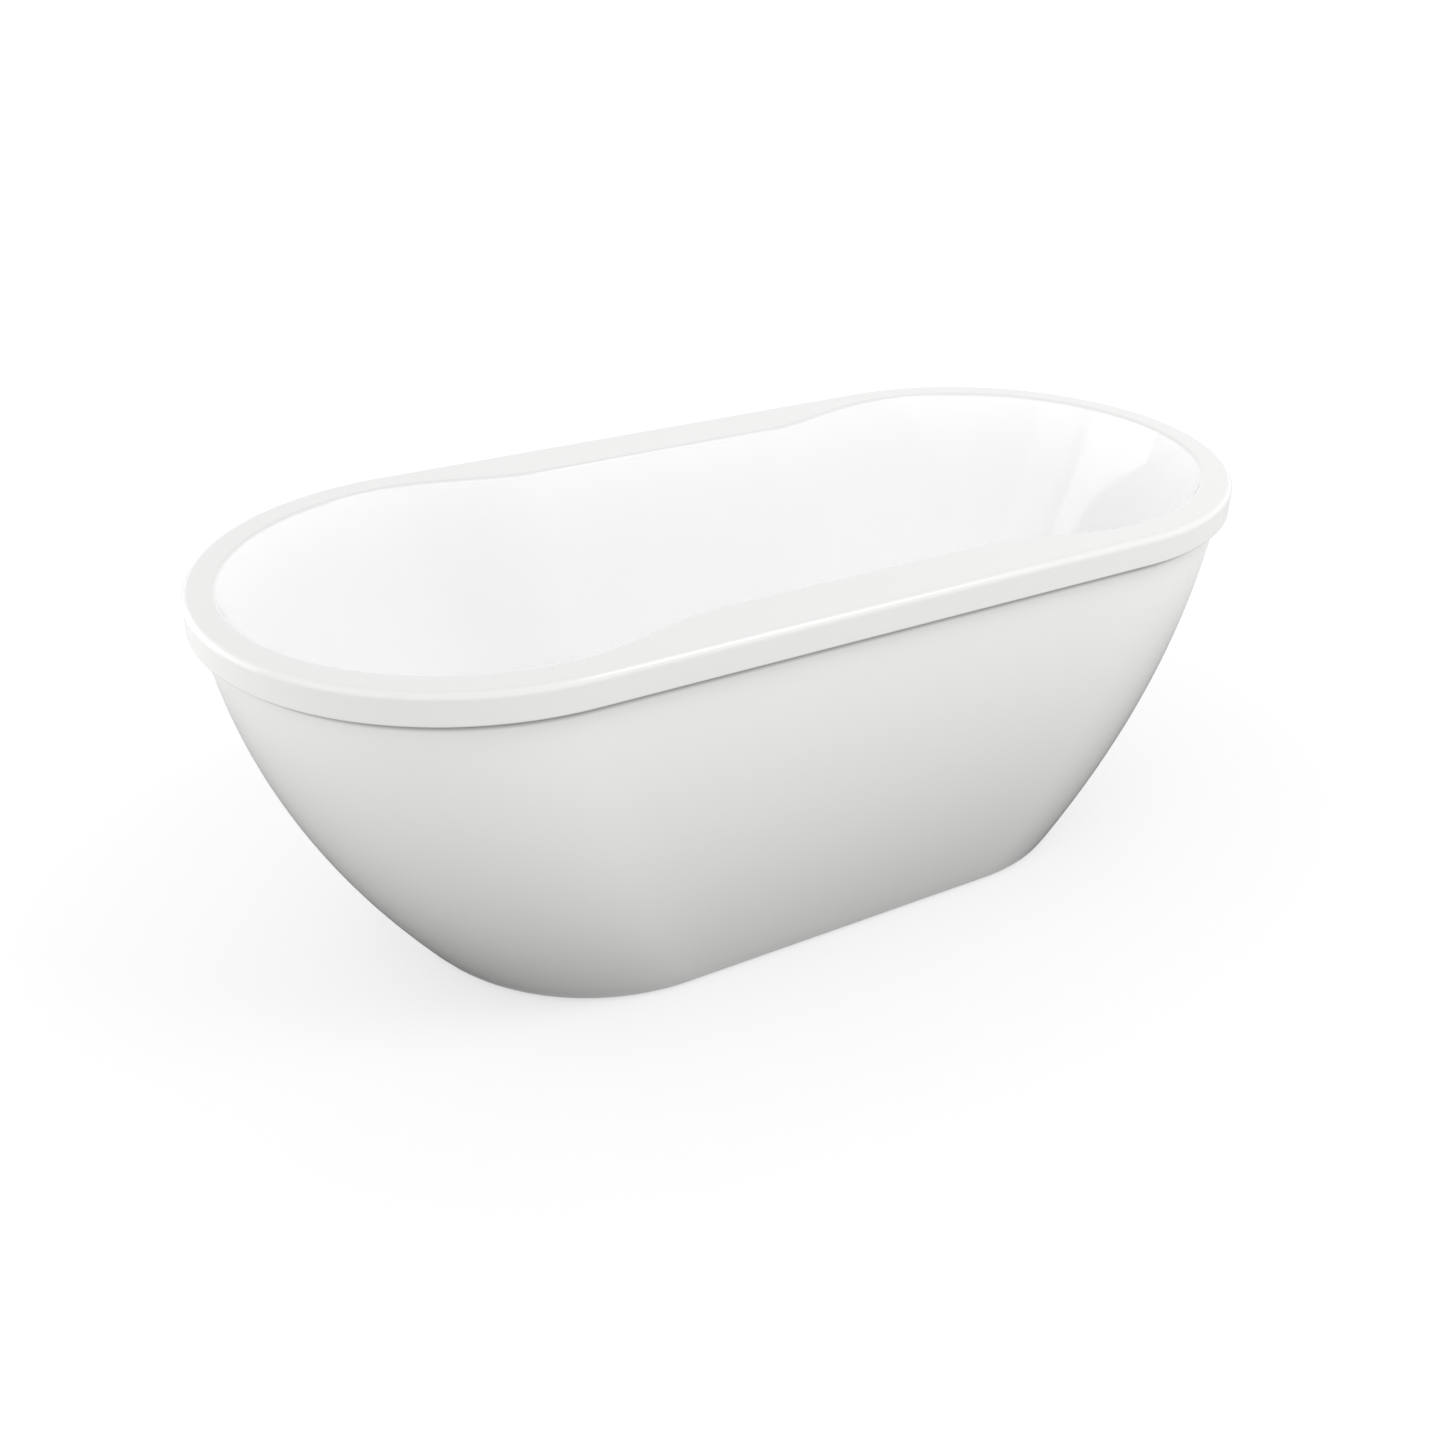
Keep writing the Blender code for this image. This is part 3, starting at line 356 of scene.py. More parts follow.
def shellGrid():
    # One closed profile, carried round the outline: floor, wall, roll, deck, edge, lip and back again.
    floorRing = basinRings(1.0)
    landRing = circleTowards(floorRing, bath["drainLandRadius"])
    holeRing = circleTowards(floorRing, bath["drainHole"])
    landZ, edgeZ, under = bath["drainLand"], bath["floorEdge"], bath["floorUnderside"]

    # floor: straight lines from the land's circle to the foot of the walls, easing up to them
    share = np.linspace(0, 1, bath["floorRows"])[:, None, None]
    floorPart = atHeights(landRing + (floorRing - landRing) * share,
                          landZ + (edgeZ - landZ) * smoothStep(share[:, 0, 0] * 0.5) * 2)

    # wall from the floor up: depth = 1 - (1 - s)^2 keeps the rows even round the cove
    s = np.linspace(1, 0, bath["wallRows"])[1:]
    depth = 1 - (1 - s) ** 2
    wallPart = atHeights(basinRings(wallInset(depth)), throatZ - wallDepth * depth)

    # roll: an arc that leaves the wall along its own slope and meets the deck level
    throat = basinRings(0.0)[0]
    normals = outwardNormals(throat)
    travel = (basinRings(bath["slopeShare"])[0] - throat) / bath["slopeShare"]
    inwardRun = -(travel * normals).sum(axis=1) * bath["wallSlant"] / wallDepth
    slope = np.arctan(inwardRun)
    r = bath["roll"]
    rise = r * np.sin(slope)
    top = throat - travel * bath["wallSlant"] * (rise / wallDepth)[:, None]
    turn = np.linspace(1, 0, bath["rollRows"])[:, None] * (quarterTurn - slope)[None]
    out = r * np.cos(slope)[None] - r * np.sin(turn)
    rollPart = atHeights(top[None] + normals[None] * out[..., None], tubHeight - r + r * np.cos(turn))

    # deck: flat from the roll to the rounded outer edge
    e = bath["edgeRadius"]
    deckInner = rollPart[-1, :, :2]
    deckOuter = roundedOblong(tubLength / 2 - e, tubWidth / 2 - e)[0]
    share = np.array(bath["deckShares"])[:, None, None]
    deckPart = atHeights(deckInner + (deckOuter - deckInner) * share, np.full(len(share), tubHeight))

    # outer edge and the lip's toe: quarter circles
    turn = np.linspace(0, quarterTurn, bath["edgeRows"])
    inset = e * (1 - np.sin(turn))
    edgePart = atHeights(roundedOblong(tubLength / 2 - inset, tubWidth / 2 - inset),
                         tubHeight - e * (1 - np.cos(turn)))
    toe = bath["lipToe"]
    face = np.array(bath["faceShares"])
    facePart = atHeights(roundedOblong(np.full(len(face), tubLength / 2), np.full(len(face), tubWidth / 2)),
                         tubHeight - e - (tubHeight - e - lipFoot - toe) * face)
    turn = np.linspace(0, quarterTurn, bath["toeRows"])
    inset = toe * (1 - np.cos(turn))
    toePart = atHeights(roundedOblong(tubLength / 2 - inset, tubWidth / 2 - inset),
                        lipFoot + toe * (1 - np.sin(turn)))

    # back of the lip, underside of the deck, outside of the walls and underside of the floor
    t = bath["thickness"]
    lipBack = roundedOblong(np.full(2, tubLength / 2 - t), np.full(2, tubWidth / 2 - t))
    backPart = atHeights(lipBack, [lipFoot, tubHeight - t])
    depth = 1 - (1 - np.linspace(0, 1, bath["wallRows"] // 2)) ** 2
    inset = wallInset(depth)
    heights = throatZ - wallDepth * depth - (edgeZ - under) * inset ** 2
    heights[0] = tubHeight - t
    outside = atHeights(basinRings(inset, outward=t), heights)
    underside = atHeights(holeRing, [under])
    landPart = atHeights(holeRing, [landZ])
    return np.concatenate([landPart, floorPart, wallPart, rollPart, deckPart, edgePart, facePart,
                           toePart, backPart, outside, underside])


# The outer skirt: one tapered wall with an inward return along its foot

skirt = {
    "foot": 0.003, "footLength": 0.585, "footWidth": 0.305, "inset": 0.0165, "thickness": 0.004,
    "flange": 0.029, "bulgeLow": 0.60, "bulgeHigh": 0.91, "footRadius": 0.0015, "footRows": 4, "rows": 40,
}


def skirtSize(share):
    # Half length and half width on a Bezier curve from the foot (0) to the lip (1).
    low = 3 * (1 - share) ** 2 * share * skirt["bulgeLow"]
    high = 3 * (1 - share) * share ** 2 * skirt["bulgeHigh"]
    bulge = low + high + share ** 3
    topLength = tubLength / 2 - skirt["inset"]
    topWidth = tubWidth / 2 - skirt["inset"]
    length = skirt["footLength"] + (topLength - skirt["footLength"]) * bulge
    width = skirt["footWidth"] + (topWidth - skirt["footWidth"]) * bulge
    return length, width


def skirtGrid():
    # A closed profile: in along the flange's underside, up the outside, over the top and down the inside.
    def rings(share, inward):
        length, width = skirtSize(np.atleast_1d(share))
        return outline(length - inward, width - inward, width - inward, length - width)

    foot, t = skirt["foot"], skirt["thickness"]
    rise = lipFoot - foot
    top = tubHeight - bath["thickness"] - clearance
    r = skirt["footRadius"]
    turn = np.linspace(0, quarterTurn, skirt["footRows"])
    flangeIn = atHeights(rings(0.0, skirt["flange"]), [foot])
    footEdge = atHeights(np.concatenate([rings(0.0, r * (1 - math.sin(a))) for a in turn]),
                         foot + r * (1 - np.cos(turn)))
    share = np.linspace(0, 1, skirt["rows"])[1:]
    outside = atHeights(rings(share, 0.0), foot + rise * share)
    head = atHeights(np.concatenate([rings(1.0, 0.0), rings(1.0, t)]), [top, top])
    inside = atHeights(rings(share[::-2], t), foot + rise * share[::-2])
    flangeOut = atHeights(np.concatenate([rings(0.0, t), rings(0.0, skirt["flange"])]), [foot + t] * 2)
    return np.concatenate([flangeIn, footEdge, outside, head, inside, flangeOut])


# Shader sheets

class Signal:
    # A socket of a material, so that sums and products on it add Math nodes.

    def __init__(self, sheet, socket):
        self.sheet, self.socket = sheet, socket

    def math(self, operation, a, b):
        return self.sheet.math(operation, a, b)

    def __add__(self, other):
        return self.math("ADD", self, other)

    def __sub__(self, other):
        return self.math("SUBTRACT", self, other)

    def __rsub__(self, other):
        return self.math("SUBTRACT", other, self)

    def __mul__(self, other):
        return self.math("MULTIPLY", self, other)

    def __truediv__(self, other):
        return self.math("DIVIDE", self, other)

    def __pow__(self, other):
        return self.math("POWER", self, other)

    __radd__, __rmul__ = __add__, __mul__


class Sheet:
    # A material's node tree, with its Principled shader.

    def __init__(self, name, look):
        self.material = bpy.data.materials.new(name)
        self.material.use_nodes = True
        self.tree = self.material.node_tree
        self.shader = self.tree.nodes["Principled BSDF"]
        for socket, value in look.items():
            self.shader.inputs[socket].default_value = value

    def add(self, kind, settings=None, sockets=None, output=0):
        node = self.tree.nodes.new(kind)
        for name, value in (settings or {}).items():
            if name == "stops":
                self.setStops(node.color_ramp, value)
            else:
                setattr(node, name, value)
        for name, value in (sockets or {}).items():
            if isinstance(value, Signal):
                self.tree.links.new(value.socket, node.inputs[name])
            else:
                node.inputs[name].default_value = value
        return Signal(self, node.outputs[output])

    def setStops(self, ramp, stops):
        while len(ramp.elements) < len(stops):
            ramp.elements.new(0.5)
        for element, (position, value) in zip(ramp.elements, stops):
            element.position = position
            element.color = (value, value, value, 1.0)

    def feed(self, socket, signal):
        self.tree.links.new(signal.socket, self.shader.inputs[socket])

    def math(self, operation, *values):
        return self.add("ShaderNodeMath", {"operation": operation}, dict(enumerate(values)))

    def place(self):
        return self.add("ShaderNodeTexCoord", output="Object")

    def axes(self):
        split = self.add("ShaderNodeSeparateXYZ", None, {"Vector": self.place()}).socket.node
        return [Signal(self, socket) for socket in split.outputs]

    def fromSpine(self):
        # Level distance from the line that joins the centres of the tub's two round ends.
        x, y, _ = self.axes()
        over = self.math("MAXIMUM", self.math("ABSOLUTE", x) - (tubLength - tubWidth) / 2, 0.0)
        return self.math("SQRT", over ** 2 + y * y)

    def between(self, signal, low, high):
        # 0 below low and 1 above high, with a smooth rise.
        return self.add("ShaderNodeMapRange", {"interpolation_type": "SMOOTHSTEP"},
                        {"Value": signal, "From Min": low, "From Max": high})

    def stretched(self, scale):
        return self.add("ShaderNodeMapping", {"vector_type": "POINT"},
                        {"Vector": self.place(), "Scale": scale})

    def noise(self, scale, detail=3.0, roughness=0.5, where=None, distortion=0.0):
        return self.add("ShaderNodeTexNoise", {"noise_dimensions": "3D"},
                        {"Vector": where or self.place(), "Scale": scale, "Detail": detail,
                         "Roughness": roughness, "Distortion": distortion})

    def ramp(self, signal, stops):
        return self.add("ShaderNodeValToRGB", {"stops": stops}, {"Fac": signal})

    def mix(self, factor, first, second):
        # A colour between two, by a factor.
        pair = {6: first if isinstance(first, Signal) else (*first, 1.0),
                7: second if isinstance(second, Signal) else (*second, 1.0)}
        return self.add("ShaderNodeMix", {"data_type": "RGBA"}, {0: factor, **pair}, output=2)

    def bump(self, height, strength, distance):
        normal = self.add("ShaderNodeBump", None,
                          {"Height": height, "Strength": strength, "Distance": distance})
        self.feed("Normal", normal)


acrylicLook = {
    # deck, lip and basin tones are painted lit and shaded tones of one white acrylic; the deep basin's tone
    # is painted light
    "deck": (0.668, 0.667, 0.663), "lip": (0.726, 0.725, 0.717), "basin": (0.852, 0.852, 0.852),
    "deepBasinPaintedLight": (0.925, 0.925, 0.925), "paintedLightHeights": (0.22, 0.56),
    "shellGloss": 0.035, "skirt": (0.792, 0.791, 0.782), "skirtGloss": 0.13,
    # the skirt's dark band under the lip and its darkening near the floor are painted shade
    "paintedLipShadow": (0.24, 0.24, 0.23), "paintedLipShadowReach": (0.017, 0.008), "paintedLipShadowShare": 0.92,
    "footPaintedShadeReach": (0.004, 0.030), "footPaintedShade": 0.985, "lipInset": (bath["edgeRadius"], 0.003),
    "rollBlend": 0.0008, "basinReach": (0.360, 0.375), "toeBlend": 0.004,
    "cloud": (0.62, 0.62, 0.62), "cloudSize": 2.2, "clouding": 0.12, "hazeSize": 6.0, "haze": 0.05,
    "wipeSize": 40.0, "wipes": 0.03, "rubbedEdge": 0.10, "waveSize": 3.0, "peelSize": 55.0,
    "peelShare": 0.6, "relief": 0.0005,
}


def acrylicDetail(sheet, color, gloss, wave, rubbed):
    # Cast acrylic: faint clouding, cleaning haze and wipe marks in the gloss, a duller rubbed edge,
    # the slow wave of a moulded sheet and a trace of orange peel.
    cloud = sheet.noise(acrylicLook["cloudSize"], 2.0, 0.4)
    darker = sheet.mix(acrylicLook["clouding"], color, acrylicLook["cloud"])
    sheet.feed("Base Color", sheet.mix(cloud, color, darker))
    haze = sheet.ramp(sheet.noise(acrylicLook["hazeSize"], 4.0, 0.6), [(0.35, 0.0), (0.75, 1.0)])
    wipes = sheet.noise(acrylicLook["wipeSize"], 3.0, 0.5, sheet.stretched((0.15, 1.0, 1.0)))
    sheet.feed("Roughness", haze * acrylicLook["haze"] + wipes * acrylicLook["wipes"]
               + rubbed * acrylicLook["rubbedEdge"] + gloss)
    slow = sheet.noise(acrylicLook["waveSize"], 1.0, 0.3)
    peel = sheet.noise(acrylicLook["peelSize"], 2.0, 0.4)
    sheet.bump(slow * wave + peel * acrylicLook["peelShare"], 0.10, acrylicLook["relief"])
    return sheet.material


def shellAcrylic():
    # One white acrylic with a tone for each zone: brightest deep in the basin, painted light; the deck and
    # the lip a shade greyer, painted shade.
    sheet = Sheet("acrylicShell", {"IOR": 1.49, "Specular IOR Level": 0.5})
    z, reach = sheet.axes()[2], sheet.fromSpine()
    lip = sheet.between(reach, *(tubWidth / 2 - inset for inset in acrylicLook["lipInset"]))
    below = 1 - sheet.between(z, throatZ, tubHeight - acrylicLook["rollBlend"])
    basin = below * (1 - sheet.between(reach, *acrylicLook["basinReach"]))
    toe = 1 - sheet.between(z, lipFoot, lipFoot + acrylicLook["toeBlend"])
    deckAndLipPaintedShade = sheet.mix(lip, acrylicLook["deck"], acrylicLook["lip"])
    # painted light: the basin's walls grow brighter with depth, where less light reaches
    basinWithPaintedLight = sheet.mix(sheet.between(z, *acrylicLook["paintedLightHeights"]), acrylicLook["deepBasinPaintedLight"],
                         acrylicLook["basin"])
    return acrylicDetail(sheet, sheet.mix(basin, deckAndLipPaintedShade, basinWithPaintedLight),
                         acrylicLook["shellGloss"], 1.0, toe * lip)


def skirtAcrylic():
    # Duller near the floor and a touch darker there, painted shade; a dark band in the corner under the lip
    # is painted shadow of the lip.
    sheet = Sheet("acrylicSkirt", {"IOR": 1.49, "Specular IOR Level": 0.5})
    z = sheet.axes()[2]
    # painted shade: the skirt's colour darkens a little towards the floor; the same mask makes the edge
    # duller
    foot = 1 - sheet.between(z, *acrylicLook["footPaintedShadeReach"])
    shade = tuple(c * acrylicLook["footPaintedShade"] for c in acrylicLook["skirt"])
    skirtShadedAtFoot = sheet.mix(foot * 0.5, acrylicLook["skirt"], shade)
    # painted shadow: a dark band on the skirt just below the lip's foot
    corner = sheet.between(z, *(lipFoot - reach for reach in acrylicLook["paintedLipShadowReach"]))
    skirtWithPaintedShade = sheet.mix(corner * acrylicLook["paintedLipShadowShare"], skirtShadedAtFoot, acrylicLook["paintedLipShadow"])
    return acrylicDetail(sheet, skirtWithPaintedShade, acrylicLook["skirtGloss"], 1.6, foot)


plyLook = {"light": (0.66, 0.50, 0.31), "dark": (0.47, 0.32, 0.17), "endGrain": (0.36, 0.24, 0.13),
           "sheet": 0.0026, "glueLine": (0.48, 0.62), "grainSize": 9.0, "furSize": 220.0, "roughness": 0.68}


def plywood():
    # Long grain on the faces, and the plies' bands by height on the cut sides.
    sheet = Sheet("sandedPlywood", {"Specular IOR Level": 0.3})
    z = sheet.axes()[2]
    grain = sheet.noise(plyLook["grainSize"], 6.0, 0.62, sheet.stretched((1.0, 14.0, 14.0)), 1.2)
    figure = sheet.mix(sheet.ramp(grain, [(0.32, 0.0), (0.68, 1.0)]), plyLook["light"], plyLook["dark"])
    band = sheet.math("PINGPONG", z, plyLook["sheet"]) / plyLook["sheet"]
    ply = sheet.between(band + sheet.noise(60.0, 2.0, 0.5) * 0.12, *plyLook["glueLine"])
    sheet.feed("Base Color", sheet.mix(ply * 0.55, figure, plyLook["endGrain"]))
    sheet.feed("Roughness", grain * 0.18 + ply * 0.06 + plyLook["roughness"])
    sheet.bump(grain + sheet.noise(plyLook["furSize"], 2.0, 0.5) * 0.3, 0.25, 0.0004)
    return sheet.material


steelLook = {"bright": (0.68, 0.69, 0.70), "dull": (0.47, 0.49, 0.51), "spangle": 85.0, "dirtSize": 14.0,
             "pitSize": 300.0, "roughness": 0.34}


def galvanisedSteel():
    # Spangle: each crystal of the zinc has its own shade and gloss.
    sheet = Sheet("galvanisedSteel", {"Metallic": 1.0})
    cells = sheet.add("ShaderNodeTexVoronoi", {"feature": "F1"},
                      {"Vector": sheet.place(), "Scale": steelLook["spangle"]}, output="Color")
    crystal = sheet.add("ShaderNodeRGBToBW", None, {"Color": cells})
    dirt = sheet.ramp(sheet.noise(steelLook["dirtSize"], 5.0, 0.6), [(0.45, 0.0), (0.80, 1.0)])
    sheet.feed("Base Color", sheet.mix(crystal * 0.8 + dirt * 0.2, steelLook["bright"], steelLook["dull"]))
    sheet.feed("Roughness", crystal * 0.16 + dirt * 0.14 + steelLook["roughness"])
    sheet.bump(crystal + sheet.noise(steelLook["pitSize"], 2.0, 0.5) * 0.4, 0.15, 0.0002)
    return sheet.material


zincLook = {"silver": (0.76, 0.76, 0.74), "straw": (0.70, 0.66, 0.55), "blue": (0.60, 0.65, 0.72),
            "strawSize": 70.0, "blueSize": 45.0, "scratchSize": 260.0, "roughness": 0.22}


def zincPlate():
    # Bright zinc with a drifting straw and blue passivation, and fine handling scratches.
    sheet = Sheet("zincPlate", {"Metallic": 1.0})
    drift = sheet.noise(zincLook["strawSize"], 3.0, 0.5)
    tint = sheet.mix(sheet.ramp(drift, [(0.40, 0.0), (0.70, 1.0)]), zincLook["silver"], zincLook["straw"])
    cold = sheet.ramp(sheet.noise(zincLook["blueSize"], 2.0, 0.5), [(0.50, 0.0), (0.75, 1.0)])
    sheet.feed("Base Color", sheet.mix(cold * 0.5, tint, zincLook["blue"]))
    scratches = sheet.noise(zincLook["scratchSize"], 4.0, 0.7, sheet.stretched((1.0, 1.0, 0.12)))
    sheet.feed("Roughness", scratches * 0.16 + drift * 0.06 + zincLook["roughness"])
    sheet.bump(scratches, 0.12, 0.0001)
    return sheet.material


chromeLook = {"color": (0.87, 0.88, 0.89), "worn": (0.74, 0.75, 0.76), "spotSize": 130.0, "hazeSize": 24.0,
              "hairlineSize": 420.0, "gloss": 0.035}


def chromePlate():
    # Mirror plate with water spots, a haze of dried soap and hairline wipe marks.
    sheet = Sheet("chromePlate", {"Metallic": 1.0})
    spots = sheet.ramp(sheet.noise(chromeLook["spotSize"], 2.0, 0.5), [(0.60, 0.0), (0.66, 1.0)])
    haze = sheet.noise(chromeLook["hazeSize"], 4.0, 0.6)
    hairlines = sheet.noise(chromeLook["hairlineSize"], 3.0, 0.7, sheet.stretched((1.0, 0.1, 1.0)))
    sheet.feed("Base Color", sheet.mix(haze * 0.3 + spots * 0.2, chromeLook["color"], chromeLook["worn"]))
    sheet.feed("Roughness", spots * 0.09 + haze * 0.05 + hairlines * 0.05 + chromeLook["gloss"])
    sheet.bump(hairlines + spots * 0.5, 0.05, 0.00008)
    return sheet.material


plasticLook = {
    "flowSize": 30.0, "scuffSize": 75.0,
    "blackNylon": {"color": (0.030, 0.030, 0.032), "shade": (0.060, 0.060, 0.062), "roughness": 0.45,
                   "grain": 900.0, "specular": 0.5},
    "blackRubber": {"color": (0.022, 0.022, 0.022), "shade": (0.050, 0.049, 0.047), "roughness": 0.66,
                    "grain": 600.0, "specular": 0.3},
    "wastePlastic": {"color": (0.74, 0.74, 0.72), "shade": (0.66, 0.66, 0.63), "roughness": 0.36,
                     "grain": 1100.0, "specular": 0.5},
}


def mouldedPlastic(name):
    # Spark-eroded mould texture, flow clouding, and dust or scuffs that dull the gloss.
    look = plasticLook[name]
    sheet = Sheet(name, {"Specular IOR Level": look["specular"]})
    flow = sheet.noise(plasticLook["flowSize"], 3.0, 0.5)
    scuff = sheet.ramp(sheet.noise(plasticLook["scuffSize"], 5.0, 0.65), [(0.52, 0.0), (0.74, 1.0)])
    sheet.feed("Base Color", sheet.mix(flow * 0.6 + scuff * 0.4, look["color"], look["shade"]))
    texture = sheet.noise(look["grain"], 2.0, 0.6)
    sheet.feed("Roughness", scuff * 0.14 + texture * 0.08 + look["roughness"])
    sheet.bump(texture + flow * 0.4, 0.22, 0.00015)
    return sheet.material


print("mixing the finishes")
finishes = {
    "acrylic_shell": shellAcrylic(),
    "acrylic_skirt": skirtAcrylic(),
    "plywood": plywood(),
    "galvanised_steel": galvanisedSteel(),
    "zinc_plated": zincPlate(),
    "chrome": chromePlate(),
    "black_nylon": mouldedPlastic("blackNylon"),
    "black_rubber": mouldedPlastic("blackRubber"),
    "waste_plastic": mouldedPlastic("wastePlastic"),
}
nodeSlots = {part["node"]: part["material_slot"] for part in frame["record"]["subparts"]}


print("building the shell and the skirt")
shellHoles = {"overflow": 0.0262, "overflowDepth": 0.050, "bracketScrew": 0.0026}
overflowBand = (0.07, 0.27)  # shares of the wall's depth, where the wall is flat


def overflowAxis():
    # The middle of the flat band at x = 0 on the -Y wall, and the wall's slope from upright.
    upper, lower = (throatZ - wallDepth * share for share in overflowBand)
    throatY = tubWidth / 2 - bath["deckArm"] - bath["roll"]
    upperY, lowerY = (throatY - (throatY - bath["floorWidth"]) * wallInset(share) for share in overflowBand)
    slope = math.atan2(upperY - lowerY, upper - lower)
    return np.array([0, -(upperY + lowerY) / 2, (upper + lower) / 2]), slope


overflowCentre, overflowSlope = overflowAxis()
overflowTilt = overflowSlope - quarterTurn
intoBasin = np.array([0, math.cos(overflowSlope), math.sin(overflowSlope)])


def alongOverflow(grid):
    return placed(grid, overflowCentre, overflowTilt)


def holes(radius, low, high, centres, segments=24):
    # An upright round cutter about each centre, from low to high.
    return np.stack([placed(rodGrid(radius, low, high, segments), centre) for centre in centres])


bathShell = gridPiece("bathShell", shellGrid())
halfHole = shellHoles["overflowDepth"] / 2
cutGrid(bathShell, alongOverflow(rodGrid(shellHoles["overflow"], -halfHole, halfHole)))
finishPiece(bathShell, "tub_shell")

bracketScrews = [f"bracket_screw_{n}" for n in range(1, 5)]
bracketHoles = holes(shellHoles["bracketScrew"], -beyond, beyond,
                     [nodeCentre(node) for node in bracketScrews])
bathSkirt = gridPiece("bathSkirt", skirtGrid())
cutGrid(bathSkirt, bracketHoles)
finishPiece(bathSkirt, "outer_skirt")


# Board and battens

print("building the board, battens and frame")
board = {"edge": 0.0015, "drainHole": 0.052, "drainSides": 96, "pilot": 0.0028, "pilotDepth": 0.016}
boardScrews = [f"board_screw_{n}" for n in range(1, 5)]


def blockPiece(name, node):
    return gridPiece(name, blockGrid(*nodeBox(node), board["edge"]), closeRows=False)


baseBoard = blockPiece("baseBoard", "base_board")
boardLow, boardHigh = (corner[2] for corner in nodeBox("base_board"))
cutGrid(baseBoard, rodGrid(board["drainHole"], boardLow - beyond, boardHigh + beyond, board["drainSides"]))
cutGrid(baseBoard, holes(board["pilot"], -beyond, board["pilotDepth"],
                         [(*nodeCentre(node)[:2], boardLow) for node in boardScrews]))
finishPiece(baseBoard, "base_board")
for side in ("front", "back"):
    finishPiece(blockPiece(f"rimBatten{side.title()}", f"rim_batten_{side}"), f"rim_batten_{side}")


# Steel frame

tube = {"wall": 0.002, "corner": 0.003, "deburr": 0.0003, "footHole": 0.0067, "footHoleReach": 0.0075,
        "footHoleSides": 32, "screwHole": 0.0028, "screwHoleReach": 0.040}


def tubeGrid(length, side):
    # Out along the outside and back along the inside, the corner radius smaller by the wall.
    end, deburr, outer = length / 2, tube["deburr"], tube["corner"]
    inner = outer - tube["wall"]
    x = [-end, deburr - end, end - deburr, end, end, end - deburr, deburr - end, -end]
    radius = [outer - deburr, outer, outer, outer - deburr,
              inner + deburr, inner, inner, inner + deburr]
    return barGrid(x, radius, (side / 2, side / 2), outer)


def tubePiece(name, node, along):
    low, high = nodeBox(node)
    grid = tubeGrid(high[along] - low[along], high[2] - low[2])
    if along == 1:
        grid = grid[..., [1, 0, 2]]
    return gridPiece(name, grid + (low + high) / 2)


def underRail(nodes, sign):
    # Where the nodes on one side stand, at the height of the rails' undersides.
    places = [nodeCentre(node) for node in nodes]
    return [(x, y, nodeBox("frame_rail_front")[0][2]) for x, y, _ in places if y * sign > 0]


footStems = [f"foot_stem_{n}" for n in range(1, 7)]
for side, sign in (("front", -1), ("back", 1)):
    rail = tubePiece(f"frameRail{side.title()}", f"frame_rail_{side}", 0)
    reach = tube["footHoleReach"]
    cutGrid(rail, holes(tube["footHole"], -reach, reach, underRail(footStems, sign), tube["footHoleSides"]))
    reach = tube["screwHoleReach"]
    cutGrid(rail, holes(tube["screwHole"], -reach, reach, underRail(boardScrews, sign)))
    finishPiece(rail, f"frame_rail_{side}")
for n in range(1, 5):
    finishPiece(tubePiece(f"frameCrossbar{n}", f"frame_crossbar_{n}", 1), f"frame_crossbar_{n}")


# Brackets from the rails to the skirt's foot

bracket = {"plate": 0.0025, "bend": 0.0045, "edge": 0.0006, "steps": 10}


def bracketGrid(low, high):
    # The plate's section carried down the upright leg, round the bend and out along the foot.
    outward = 1.0 if low[1] > 0 else -1.0
    near, far = (low[1], high[1]) if outward > 0 else (high[1], low[1])
    middle = bracket["plate"] / 2
    corners = [(near + outward * middle, high[2]), (near + outward * middle, low[2] + middle),
               (far, low[2] + middle)]
    line = rounded(corners, bracket["bend"], bracket["steps"], closed=False)
    path = np.column_stack([np.full(len(line), (low[0] + high[0]) / 2), line])
    section = barGrid([0], [bracket["edge"]], ((high[0] - low[0]) / 2, middle), bracket["edge"])[0][:, 1:]
    return capped(carried(path, section, (1, 0, 0)))


for n, hole in enumerate(bracketHoles, start=1):
    skirtBracket = gridPiece(f"skirtBracket{n}", bracketGrid(*nodeBox(f"skirt_bracket_{n}")), closeRows=False)
    finishPiece(cutGrid(skirtBracket, hole), f"skirt_bracket_{n}")


# Screws

screwSizes = {
    "board": {"shank": 0.0022, "head": 0.0045, "height": 0.0028, "length": 0.044, "pitch": 0.0018},
    "bracket": {"shank": 0.0020, "head": 0.0040, "height": 0.0024, "length": 0.0065, "pitch": 0.0014},
    "overflow": {"shank": 0.0030, "head": 0.0060, "height": 0.0030, "length": 0.036, "pitch": 0.0010},
}
screwShape = {  # shares of the head's radius or height, and of the shank's radius
    "domeRows": 22, "domePower": 0.8, "domeShare": 0.75, "slotHalf": 0.17, "slotSide": 0.06,
    "slotReach": 0.62, "slotEnd": 0.08, "slotDepth": 0.55, "rowsPerTurn": 7, "threadStart": 0.0004,
    "threadShare": 0.18, "pointLength": 3, "pointTip": 0.12, "sharpAngle": 50,
}


